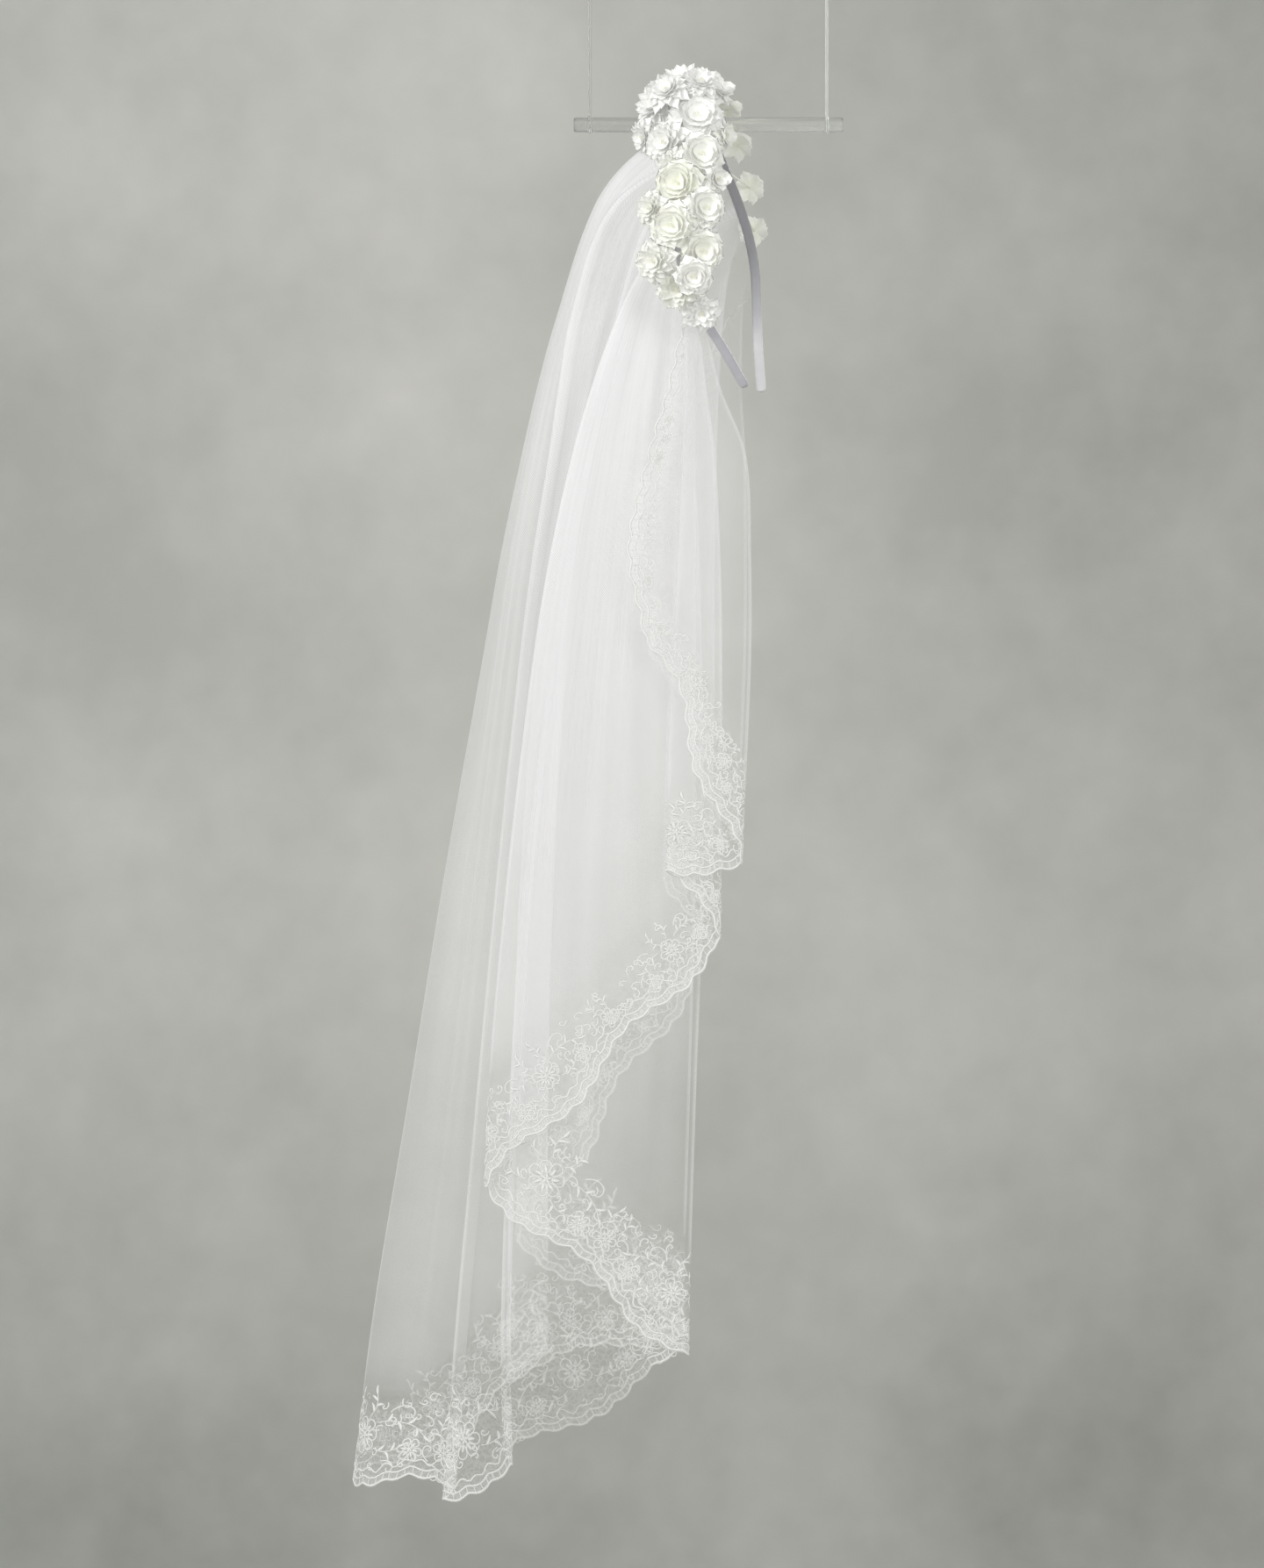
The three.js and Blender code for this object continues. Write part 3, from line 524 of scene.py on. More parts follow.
def toward(a, b, t):
    """The column that is part of the way from a to b."""
    facts = [mix(getattr(a, key), getattr(b, key), t) for key in ("band", "lift", "index")]
    if a.k == b.k and a.angle is not None and b.angle is not None:
        return Column(a.k, 0, mix(a.angle, b.angle, t), *facts)
    return Column(a.k, mix(a.share, b.share if b.k == a.k else 1, t), None, *facts)


plain = []
for k, row in enumerate(FOLDS):
    for n in range(row["turn"] + 1):
        angle = (n / row["turn"] - 0.5) * math.pi if row["turn"] else 0.0
        plain.append([k, 0, angle, n == math.floor(row["turn"] / 2 + 0.5)])
    for n in range(1, row["steps"]):
        plain.append([k, n / row["steps"], None, False])
MARKS = [next(n for n, c in enumerate(plain) if c[0] == k and c[3]) for k in range(len(FOLDS))]
COLUMNS = []
for n, (k, share, angle, _) in enumerate(plain):
    m = min(max([j for j, at in enumerate(MARKS) if at <= n] or [0]), len(FOLDS) - 2)
    t = (n - MARKS[m]) / (MARKS[m + 1] - MARKS[m])
    COLUMNS.append(Column(k, share, angle, mix(FOLDS[m]["band"], FOLDS[m + 1]["band"], t),
                          mix(FOLDS[m]["lift"], FOLDS[m + 1]["lift"], t), n))
print(len(COLUMNS), "columns in the plain cloth")

# %% [markdown]
# The cloth for the render is the same sheet in finer steps. Walking along its hem gives each line its place
# on the cut edge, which is also how far along the cloth the net and the lace are counted.

# %% Fine columns
FINE_STEP = 2.4
FINE, REACH = [], []
walked = 0.0
for n, here in enumerate(COLUMNS):
    after = COLUMNS[min(n + 1, len(COLUMNS) - 1)]
    length = (after.hang(after.between("hem")) - here.hang(here.between("hem"))).length
    steps = max(1, round(length / FINE_STEP)) if after is not here else 1
    for s in range(steps):
        FINE.append(toward(here, after, s / steps) if s else here)
        REACH.append(walked + length * s / steps)
    walked += length
print(len(FINE), "fine columns,", round(walked), "mm of hem")


def fine_at(index):
    """The column at a broken number in the row of fine ones."""
    low = max(0, min(int(index), len(FINE) - 2))
    part = index - low
    if part < 1e-6:
        return FINE[low]
    return FINE[low + 1] if part > 1 - 1e-6 else toward(FINE[low], FINE[low + 1], part)


def plain_mark(name, more=0):
    return FINE.index(COLUMNS[MARKS[[row["name"] for row in FOLDS].index(name)] + more])


NEAR_SEAM, FAR_SEAM = plain_mark("near_seam"), plain_mark("far_seam")
NEAR_SPLIT, FAR_SPLIT = plain_mark("R3", 5), plain_mark("far_L3", 4)

# %% [markdown]
# ## Creases
# Gathered net falls in soft pleats that start under the band and run down with the cloth. They are listed
# one by one: each row names the line it lies beyond, how far over to the next line, its half width in
# columns, its height in millimetres, and the share of the drop where it starts and ends. The far layers have
# their own.

# %% Listed creases
CREASES = [
    ("near_seam", 0.3, 0.55, 0.6, 0.05, 0.9), ("near_seam", 0.7, 0.5, -0.5, 0.2, 1),
    ("R1", 0.45, 0.5, 0.7, 0.05, 1), ("R1", 0.75, 0.45, -0.6, 0.25, 0.9),
    ("L1", 0.4, 0.5, -0.7, 0.05, 0.8), ("L1", 0.7, 0.45, 0.6, 0.1, 1),
    ("R2", 0.33, 0.4, 0.9, 0.02, 0.85), ("R2", 0.43, 0.3, -0.7, 0.1, 1), ("R2", 0.55, 0.4, 0.8, 0.04, 0.9),
    ("R2", 0.66, 0.32, -0.8, 0.2, 1), ("R2", 0.76, 0.4, 0.7, 0.05, 0.75),
    ("L2", 0.28, 0.4, -0.8, 0.03, 0.9), ("L2", 0.39, 0.3, 0.7, 0.1, 1), ("L2", 0.5, 0.42, -0.9, 0.05, 0.7),
    ("L2", 0.6, 0.34, 0.8, 0.2, 0.95), ("L2", 0.71, 0.4, -0.6, 0.04, 1),
    ("R3", 0.27, 0.36, 0.8, 0.04, 0.8), ("R3", 0.4, 0.42, -0.7, 0.1, 1), ("R3", 0.52, 0.3, 0.8, 0.25, 0.9),
    ("R3", 0.63, 0.4, -0.9, 0.03, 0.85), ("R3", 0.74, 0.3, 0.6, 0.15, 1),
    ("strip_right", 0.5, 0.5, 0.6, 0.1, 1), ("strip_right", 0.68, 0.4, -0.6, 0.2, 0.8),
    ("pleat_right", 0.3, 0.45, -0.8, 0.03, 0.8), ("pleat_right", 0.42, 0.3, 0.6, 0.2, 1),
    ("back", 0.55, 0.4, 0.8, 0.05, 0.9), ("back", 0.7, 0.5, -0.7, 0.1, 1), ("back", 0.83, 0.35, 0.7, 0.04, 0.8),
    ("far_R4", 0.5, 0.4, 0.6, 0.1, 0.9),
    ("far_L3", 0.35, 0.4, -0.8, 0.04, 1), ("far_L3", 0.52, 0.36, 0.7, 0.1, 0.8),
    ("far_L3", 0.7, 0.42, -0.7, 0.05, 0.9),
    ("far_R3", 0.33, 0.4, 0.8, 0.05, 0.85), ("far_R3", 0.5, 0.3, -0.7, 0.2, 1),
    ("far_R3", 0.66, 0.42, 0.8, 0.03, 0.9),
    ("far_L2", 0.38, 0.4, -0.8, 0.05, 0.9), ("far_L2", 0.6, 0.42, 0.7, 0.1, 1),
    ("far_R2", 0.45, 0.5, 0.7, 0.05, 1), ("far_R2", 0.7, 0.4, -0.6, 0.2, 0.9),
    ("far_L1", 0.5, 0.5, -0.7, 0.05, 0.9),
    ("far_R1", 0.45, 0.5, 0.6, 0.1, 1), ("far_R1", 0.72, 0.4, -0.6, 0.05, 0.8),
]
NAMES = [row["name"] for row in FOLDS]
PLACED = []
for name, share, half, height, starts, ends in CREASES:
    k = NAMES.index(name)
    PLACED.append((mix(MARKS[k], MARKS[k + 1], share), half, height, starts, ends))


def creases_near(index):
    return [c for c in PLACED if abs(c[0] - index) < 3 * c[1]]


def crease(index, near, down):
    """How far a point stands off the plain cloth, in millimetres, down being its share of the drop."""
    off = 0.0
    for centre, half, height, starts, ends in near:
        wander = 0.12 * math.sin(9 * down + centre)
        bell = math.exp(-((index - centre - wander) / half) ** 2)
        off += height * bell * ease((down - starts) / 0.12) * ease((ends + 0.08 - down) / 0.2)
    return off


print(len(PLACED), "creases")

# %% [markdown]
# ## Tulle
# Tulle is a net of fine hexagons. One layer hides little, so what reads as white is many layers over each
# other, and the gathers near the band. The mesh carries a number, cover, which is high where the net is
# drawn together and along a pressed fold, and low towards the foot. The net itself is three cosines
# crossing at sixty degrees.

# %% Net finishes
def net(name, colour, cell, strand, streaks, filler=0.0):
    cloth = Finish(name)
    spot, u, v = cloth.place()
    turn = 2 * math.pi / cell
    holes = (u * turn).cosine() + (u * (turn / 2) + v * (turn * 0.866)).cosine() \
        + (u * (turn / 2) - v * (turn * 0.866)).cosine()
    threads = 1 - holes.above(-0.9, 1.6)
    drawn = cloth.node("ShaderNodeVectorMath", {"operation": "MULTIPLY"}, {0: spot, 1: (230, 5, 1)})
    pleats = cloth.noise(1.0, 3.0, Vector=drawn, Roughness=0.6)
    folds = (1 - streaks) + pleats.above(0.3, 0.7) * (2 * streaks)
    thin = (1 - cloth.worn("cover")).limited() ** 2
    alpha = cloth.worn("cover") * folds * (1 + thin * (threads * 1.9 - 1) * strand)
    if filler:
        edges = cloth.node("ShaderNodeTexVoronoi", {"feature": "DISTANCE_TO_EDGE"},
                           {"Vector": spot, "Scale": 330.0})
        alpha = alpha + (1 - edges.above(0.05, 0.13)) * filler * cloth.worn("filled")
    return cloth.done({"Base Color": colour, "Roughness": 0.85, "Alpha": alpha.limited(), "IOR": 1.3,
                       "Specular IOR Level": 0.2, "Sheen Weight": 0.15,
                       "Normal": cloth.bump(threads * thin + pleats * 2, 0.00025, 0.5)})


TULLE = net("tulle", (0.89, 0.89, 0.9, 1), 0.0011, 0.5, 0.11)
LACE_NET = net("lace_ground", (0.92, 0.92, 0.91, 1), 0.0013, 0.6, 0.1, filler=0.09)

# %% Sheets of tulle
ROWS, CROWD, TUCK = 96, 1.6, 6
FADES, PRESSED_BY = 210, 60


def cover_at(column, z):
    drop = max(column.top.z - z, 0)
    cover = column.between("sheer") + column.between("drawn") * math.exp(-drop / FADES)
    if column.angle is not None and FOLDS[column.k]["side"]:
        sharp = 0.12 if FOLDS[column.k]["round"] > 5 else 0.7
        cover += FOLDS[column.k]["pressed"] * math.exp(-(column.angle / sharp) ** 2) * ease(drop / PRESSED_BY)
    return min(cover, 0.97)


def foot_of(column):
    """The height at which the tulle ends, tucked a little way behind its lace."""
    return column.between("hem") + column.between("lace") - TUCK


def tulle(name, first, last, node):
    points, faces, uv, cover = [], [], [], []
    area = 0.0
    columns = FINE[first:last + 1]
    for n, column in enumerate(columns):
        near = creases_near(column.index)
        foot = foot_of(column)
        point, across, _ = band_axes(column.band)
        line = []
        for j in range(ROWS + 1):
            t = (j / ROWS) ** CROWD
            z = mix(column.top.z, foot, t)
            here = column.hang(z)
            off = crease(column.index, near, t)
            here.y += off
            if j == 0:
                here = here.lerp(point - across * 2.2, 0.75)
            line.append(here)
            uv.append((REACH[first + n] * MM, z * MM))
            cover.append((cover_at(column, z) + 0.05 * abs(off)) * mix(0.3, 1, ease((z - foot) / 16)))
        points += line
    down = ROWS + 1
    for n in range(len(columns) - 1):
        for j in range(ROWS):
            a = n * down + j
            faces.append((a, a + 1, a + down + 1, a + down))
            area += (points[a + 1] - points[a]).cross(points[a + down] - points[a]).length
    made = piece(name, [p * MM for p in points], faces, [TULLE], "tulle", [node], uv=uv,
                 numbers={"cover": cover})
    width, area = (REACH[last] - REACH[first]) * MM, area * MM * MM
    length = max(column.top.z - foot_of(column) for column in columns) * MM
    length = max(length, area / width)
    print(name, len(faces) * 2, "triangles, flat", round(width, 3), "by", round(length, 3), "m, area",
          round(area, 4))


tulle("near_tulle", NEAR_SEAM, NEAR_SPLIT, "tulle_near")
tulle("back_tulle", NEAR_SPLIT, FAR_SPLIT, "tulle_back")
tulle("far_tulle", FAR_SPLIT, FAR_SEAM, "tulle_far")

# %% [markdown]
# ## The lace edging
# The edging is one long strip: down the near free edge, round the hem and up the far one. It is laid out
# flat first, by how far along the edge and how far in from it, and then carried onto the cloth. To step in
# square to the edge, the cloth is unrolled: at each height, the columns lie side by side at their true
# distances.

# %% The unrolled cloth
LEVEL_STEP = 6
HEIGHTS = list(range(-800, -130, LEVEL_STEP))
UNROLLED = []
for z in HEIGHTS:
    line = [0.0]
    before = FINE[0].hang(z)
    for column in FINE[1:]:
        after = column.hang(z)
        line.append(line[-1] + (after - before).length)
        before = after
    UNROLLED.append(line)


def unrolled(z):
    at = max(0.0, min((z - HEIGHTS[0]) / LEVEL_STEP, len(HEIGHTS) - 1.001))
    low = int(at)
    return UNROLLED[low], UNROLLED[low + 1], at - low


def distance(index, z):
    a, b, t = unrolled(z)
    low = max(0, min(int(index), len(FINE) - 2))
    part = index - low
    return mix(mix(a[low], a[low + 1], part), mix(b[low], b[low + 1], part), t)


def column_by(length, z):
    """The number of the fine column at a distance along the cloth, at a height."""
    low = bisect_right(range(len(FINE)), length, 1, len(FINE) - 1, key=lambda n: distance(n, z)) - 1
    a, b = distance(low, z), distance(low + 1, z)
    return low + max(-3.0, min(4.0, (length - a) / max(b - a, 1e-6)))


# %% The edge of the cloth, and the way in from it
LOBE = {"length": 87, "depth": 9, "first": 30}
SCALLOP = {"length": 13, "depth": 2.4}
SIDE_TOP = -153
EDGE_STEP = 2.6
LAST = len(FINE) - 1


def side_places(index, from_z, to_z):
    count = max(2, round(abs(to_z - from_z) / EDGE_STEP))
    return [(index, mix(from_z, to_z, n / count)) for n in range(count)]


near_foot, far_foot = FINE[0].between("hem"), FINE[LAST].between("hem")
ROUTE = side_places(0, SIDE_TOP, near_foot)
NEAR_TURN = len(ROUTE)
ROUTE += [(n, FINE[n].between("hem")) for n in range(LAST)]
FAR_TURN = len(ROUTE)
ROUTE += side_places(LAST, far_foot, SIDE_TOP + 4) + [(LAST, SIDE_TOP + 4)]
SPOTS = [fine_at(n).hang(z) for n, z in ROUTE]
ALONG, SLOPE = [0.0], []
for before, after in zip(SPOTS, SPOTS[1:]):
    length = max((after - before).length, 1e-4)
    ALONG.append(ALONG[-1] + length)
    SLOPE.append(math.asin(max(-1.0, min(1.0, (after.z - before.z) / length))))
SLOPE.append(SLOPE[-1])
LEAN = []
SMOOTH, WITHIN = 24, 60
for here in ALONG:
    near = [(math.exp(-((s - here) / SMOOTH) ** 2), slope)
            for s, slope in zip(ALONG, SLOPE) if abs(s - here) < WITHIN]
    LEAN.append(sum(w * slope for w, slope in near) / sum(w for w, _ in near))
print("edge", round(ALONG[-1]), "mm long")

# %% How deep the edging is, and its scalloped edge
BLEND = 12
LEAST_DEPTH = 24
FAR_SIDE = FAR_TURN - 200


def on_hem(n):
    """One on the hem, nought up the free edges, and between them at the two corners."""
    return ease((n - NEAR_TURN) / BLEND + 0.5) * ease((FAR_TURN - n) / BLEND + 0.5)


def scallop(n):
    reach = ALONG[n] - ALONG[NEAR_TURN]
    lobe = 0.5 - 0.5 * math.cos(2 * math.pi * (reach - LOBE["first"]) / LOBE["length"])
    small = abs(math.sin(math.pi * reach / SCALLOP["length"]))
    return LOBE["depth"] * (lobe - 0.5) * on_hem(n) + SCALLOP["depth"] * (small - 0.5)


def deep(n):
    index, z = ROUTE[n]
    hem = max(fine_at(index).between("lace") * math.cos(LEAN[n]), LEAST_DEPTH)
    edge, seam = (0, NEAR_SEAM) if n < FAR_SIDE else (LAST, FAR_SEAM)
    side = abs(distance(seam, z) - distance(edge, z))
    return mix(side + 1.5, hem, on_hem(n))


# %% Strips of lace ground
ACROSS = 10


def lace_grid(first, last):
    """Places on the cloth for a stretch of the edge: a line inwards for each step along it."""
    grid, depth = [], []
    for n in range(first, last + 1):
        index, z = ROUTE[n]
        width = deep(n)
        outer = -scallop(n)
        line = []
        for j in range(ACROSS + 1):
            b = mix(outer, width, j / ACROSS)
            up = z + b * math.cos(LEAN[n])
            sideways = -b * math.sin(LEAN[n])
            at = column_by(distance(index, up) + sideways, up)
            low = max(0, min(int(math.floor(at)), LAST - 1))
            here, after = FINE[low].hang(up), FINE[low + 1].hang(up)
            spot = here + (after - here) * (at - low)
            near = creases_near(mix(FINE[low].index, FINE[low + 1].index, at - low))
            spot.y += 0.5 * crease(mix(FINE[low].index, FINE[low + 1].index, at - low), near, 0.97)
            line.append(spot)
        grid.append(line)
        depth.append((outer, width))
    return grid, depth


# %% [markdown]
# Over the fine ground run the heavier threads: three cords side by side along the scalloped edge, with
# small bars between the outer two, and in every lobe a rose with curved stems and leaves. The motifs are
# drawn flat as ribbons that are thick in the middle, and each point is carried onto the cloth through the
# strip it belongs to.

# %% Threads and leaves drawn flat
THREAD = Finish("lace_thread")
fuzz = THREAD.noise(1400.0, 2.0)
THREAD_SKIN = THREAD.done({"Base Color": THREAD.mixed(fuzz, (0.9, 0.9, 0.885, 1), (0.97, 0.97, 0.96, 1)),
                           "Roughness": 0.85, "Specular IOR Level": 0.2, "Sheen Weight": 0.2,
                           "Alpha": THREAD.worn("clear"), "Normal": THREAD.bump(fuzz, 0.0002, 0.4)})


def ribbon(path, widths, rise=0.16):
    """A flat path of (along, in) with its half widths and height, in millimetres."""
    return path, widths, rise


def leaf(root, angle, length, width, bend=0.3, parts=7):
    """A leaf or petal: narrow, wide, narrow again, and a little bent."""
    path, widths = [], []
    for n in range(parts + 1):
        t = n / parts
        a = angle + bend * (t - 0.5)
        path.append((root[0] + length * t * math.cos(a), root[1] + length * t * math.sin(a)))
        widths.append(width / 2 * (0.16 + 0.84 * math.sin(math.pi * t ** 0.8)))
    return ribbon(path, widths)


def stem(points, width=0.55):
    return ribbon(points, [width / 2] * len(points), 0.16)


STEM_STEPS = 10


def spray(root, angle, length, leaves, size, bend, hand):
    """A curved stem with leaves on alternate sides."""
    made, line, at, a = [], [root], root, angle
    for n in range(STEM_STEPS):
        a += bend / STEM_STEPS
        at = (at[0] + length / STEM_STEPS * math.cos(a), at[1] + length / STEM_STEPS * math.sin(a))
        line.append(at)
    made.append(stem(line))
    for n in range(leaves):
        k = 2 + round((STEM_STEPS - 2) * n / max(leaves - 1, 1))
        side = 1 if n % 2 else -1
        toward_tip = angle + bend * k / STEM_STEPS
        lean = 0.85 if n < leaves - 1 else 0.0
        long = size * hand.uniform(0.85, 1.15)
        made.append(leaf(line[k], toward_tip + side * lean, long, size * 0.42, 0.4 * side))
    return made


def petal_loop(root, angle, length, width, cord):
    """A petal drawn as one closed cord."""
    path = []
    for n in range(13):
        a = 2 * math.pi * n / 12
        u, v = length * (0.5 - 0.5 * math.cos(a)), width / 2 * math.sin(a) * (0.75 - 0.25 * math.cos(a))
        path.append((root[0] + u * math.cos(angle) - v * math.sin(angle),
                     root[1] + u * math.sin(angle) + v * math.cos(angle)))
    return stem(path, cord)


def rose(centre, radius, petals, hand):
    """A rose of looped petals about a ring of small full ones."""
    made, start = [], hand.uniform(0, 1)
    for n in range(petals):
        a = 2 * math.pi * n / petals + start
        root = (centre[0] + 0.3 * radius * math.cos(a), centre[1] + 0.3 * radius * math.sin(a))
        made.append(petal_loop(root, a, 0.72 * radius * hand.uniform(0.9, 1.1), 0.8 * radius, 0.75))
        made.append(leaf(root, a, 0.42 * radius, 0.26 * radius, 0.2, 4))
    for n in range(5):
        a = 2 * math.pi * n / 5 - start
        made.append(leaf(centre, a, 0.3 * radius, 0.22 * radius, 0.3, 4))
    return made


def curl(root, angle, size, way):
    """A thread that winds into itself."""
    path = [root]
    a, at = angle, root
    for n in range(14):
        step = size * 0.2 * (1 - n / 20)
        a += way * (0.18 + 0.035 * n)
        at = (at[0] + step * math.cos(a), at[1] + step * math.sin(a))
        path.append(at)
    return stem(path, 0.7)


LOBE_CURLS = ((13, 31, 1.0, 10), (31, 20, 1.4, 8), (34, 10, 0.2, 8), (12, 8, 0.4, 7))


def lobe_motif(at, width, hand):
    """The rose, stems, leaves and curls of one lobe, in a strip of that depth."""
    k = min(1.15, width / 44)
    made = rose((at, 20 * k), 8 * k, 7, hand)
    for side in (-1, 1):
        out = 0 if side > 0 else math.pi
        made += rose((at + side * 24 * k, 14 * k), 5.4 * k, 6, hand)
        made += spray((at + side * 7 * k, 14 * k), out - side * 0.6, 13 * k, 4, 4.2 * k, side * 1.2, hand)
        made += spray((at + side * 8 * k, 26 * k), out + side * 0.3, 22 * k, 5, 4.6 * k, -side * 0.9, hand)
        made += spray((at + side * 3 * k, 29 * k), math.pi / 2 - side * 0.9, 11 * k, 4, 4.2 * k, side * 1.2,
                      hand)
        for away, inward, turn, size in LOBE_CURLS:
            made.append(curl((at + side * away * k, inward * k), out + side * turn, size * k, -side))
    return made


def gap_motif(at, width, hand):
    """The smaller rose between two lobes, with a curl and a short spray on each side."""
    k = min(1.1, width / 40)
    made = rose((at, 17 * k), 5.6 * k, 6, hand)
    for side in (-1, 1):
        made += spray((at + side * 3 * k, 22 * k), math.pi / 2 - side * 0.6, 9 * k, 4, 3.8 * k, side * 1.0,
                      hand)
        made.append(curl((at + side * 7 * k, 11 * k), math.pi / 2 - side * 1.3, 7 * k, side))
    return made


# %% Everything drawn along the edge
def nearest(reach):
    """The step of the edge that a reach falls in, and its share of that step."""
    low = bisect_right(ALONG, reach, 1, len(ALONG) - 1) - 1
    return low, (reach - ALONG[low]) / max(ALONG[low + 1] - ALONG[low], 1e-6)


def edge_in(reach):
    n, part = nearest(reach)
    return -mix(scallop(n), scallop(min(n + 1, len(ALONG) - 1)), part)


hand = random.Random(11)
CORDS = ((0.8, 1.3, 0), (4.6, 1.0, 0), (8.4, 0.9, 1.3))
CORD = {"step": 1.7, "steps": 12, "rise": 0.28, "wave": 9}
DRAWN = []
for inset, width, wave in CORDS:
    count = int(ALONG[-1] / CORD["step"])
    spots = [ALONG[-1] * n / count for n in range(count + 1)]
    cord_path = [(s, edge_in(s) + inset + wave * math.sin(2 * math.pi * s / CORD["wave"])) for s in spots]
    for n in range(0, count, CORD["steps"]):
        part = cord_path[n:n + CORD["steps"] + 1]
        DRAWN.append(ribbon(part, [width / 2] * len(part), CORD["rise"]))
reach = 2.0
while reach < ALONG[-1] - 2:
    low = edge_in(reach)
    DRAWN.append(stem([(reach, low + 1.1), (reach + hand.uniform(-0.8, 0.8), low + 4.8)], 0.5))
    top = deep(nearest(reach)[0]) - 6
    for n in range(2):
        spot = (reach + hand.uniform(-1, 1), mix(low + 8, top, hand.random() ** 1.3))
        DRAWN.append(curl(spot, hand.uniform(0, 6.3), hand.uniform(3.5, 5.5), hand.choice((-1, 1))))
    reach += hand.uniform(3.2, 4.6)
begin = ALONG[NEAR_TURN] + LOBE["first"] + LOBE["length"] / 2
lobes = [begin + n * LOBE["length"] for n in range(-3, 60)]
for at in lobes:
    for spot, motif in ((at, lobe_motif), (at + LOBE["length"] / 2, gap_motif)):
        if 8 < spot < ALONG[-1] - 8:
            DRAWN += motif(spot + hand.uniform(-2, 2), deep(nearest(spot)[0]), hand)
print(len(DRAWN), "threads and leaves")


# %% The five stretches of edging
def carry(grid, depth, start, spot):
    """A flat point of the strip on the cloth, with the way the cloth faces there."""
    n, part = nearest(spot[0])
    n = n - start + part
    i = max(0, min(int(n), len(grid) - 2))
    s = n - i
    outer, width = (mix(depth[i][k], depth[i + 1][k], s) for k in (0, 1))
    m = (spot[1] - outer) / (width - outer) * ACROSS
    j = max(0, min(int(m), ACROSS - 1))
    t = m - j
    a, b, c, d = grid[i][j], grid[i + 1][j], grid[i][j + 1], grid[i + 1][j + 1]
    face = (b - a + d - c).cross(c - a + d - b).normalized()
    return a.lerp(b, s).lerp(c.lerp(d, s), t), face


def on_edge(name, after=0):
    """How far along the edge a line of the folds meets the hem, or a little after that."""
    return ALONG[NEAR_TURN + plain_mark(name)] + after


CLEARNESS = [(0, 0.6), (on_edge("near_seam"), 0.58), (on_edge("L2"), 0.55), (on_edge("L2", 60), 0.42),
             (on_edge("R3"), 0.5), (on_edge("R3", 30), 0.14), (on_edge("strip_left"), 0.14),
             (on_edge("strip_right"), 0.3), (on_edge("pleat_left"), 0.6), (on_edge("back"), 0.6),
             (on_edge("back", 25), 0.16), (ALONG[-1], 0.22)]


def clear_at(reach):
    """How clearly the threads show: the lace is nearly lost against the wall where it hangs far back."""
    for (start, low), (end, high) in zip(CLEARNESS, CLEARNESS[1:]):
        if reach <= end:
            return mix(low, high, (reach - start) / (end - start))
    return CLEARNESS[-1][1]


SIDE_FADE = 0.85


def edging(name, first, last, node):
    grid, depth = lace_grid(first, last)
    points = [p * MM for line in grid for p in line]
    uv = [(ALONG[first + n] * MM, mix(*depth[n], j / ACROSS) * MM)
          for n in range(len(grid)) for j in range(ACROSS + 1)]
    cover, filled = [], []
    for n in range(len(grid)):
        side = 1 - on_hem(first + n)
        shows = clear_at(ALONG[first + n])
        for j in range(ACROSS + 1):
            rim = math.exp(-((j / ACROSS) / 0.12) ** 2)
            cover.append((0.06 + 0.14 * rim - 0.04 * (j / ACROSS)) * (0.2 + 1.35 * shows))
            filled.append(ease((1 - j / ACROSS) / 0.35) * (1 - SIDE_FADE * side))
    down = ACROSS + 1
    faces = [(n * down + j, n * down + j + 1, (n + 1) * down + j + 1, (n + 1) * down + j)
             for n in range(len(grid) - 1) for j in range(ACROSS)]
    ground = piece(name, points, faces, [LACE_NET], "lace", [node], uv=uv,
                   numbers={"cover": cover, "filled": filled})
    area = sum((points[b] - points[a]).cross(points[d] - points[a]).length for a, b, c, d in faces)
    start, end = ALONG[first], ALONG[last]
    solid, shown, count = [], [], 0
    for path, widths, rise in DRAWN:
        centre = sum(p[0] for p in path) / len(path)
        if not start <= centre < end or max(p[1] for p in path) > depth[nearest(centre)[0] - first][1] - 0.5:
            continue
        stations = []
        for n, (spot, half) in enumerate(zip(path, widths)):
            back, ahead = path[max(n - 1, 0)], path[min(n + 1, len(path) - 1)]
            step = math.hypot(ahead[0] - back[0], ahead[1] - back[1]) or 1.0
            square = (-(ahead[1] - back[1]) / step * half, (ahead[0] - back[0]) / step * half)
            middle, face = carry(grid, depth, first, spot)
            left, _ = carry(grid, depth, first, (spot[0] + square[0], spot[1] + square[1]))
            right, _ = carry(grid, depth, first, (spot[0] - square[0], spot[1] - square[1]))
            stations.append([p * MM for p in (left, middle + face * rise, right, middle - face * rise)])
        made = [p for station in stations for p in station]
        sides = [(4 * n + k, 4 * n + (k + 1) % 4, 4 * n + 4 + (k + 1) % 4, 4 * n + 4 + k)
                 for n in range(len(stations) - 1) for k in range(4)]
        solid.append((made, sides))
        here = nearest(centre)[0]
        inwards = sum(p[1] for p in path) / len(path) / depth[here - first][1]
        faded = 1 - SIDE_FADE * (1 - on_hem(here)) * ease((inwards - 0.15) / 0.5)
        shown += [clear_at(centre) * faded] * len(made)
        count += 1
    solid = joined(solid)
    motifs = piece(name + "_motifs", *solid, [THREAD_SKIN], "lace", numbers={"clear": shown})
    width = (end - start) * MM
    max(0.01, 1.02 * area / width)
    print(name, count, "motifs,", len(motifs.data.polygons) * 2, "triangles, flat", round(width, 3),
          "m long, area", round(area, 4))


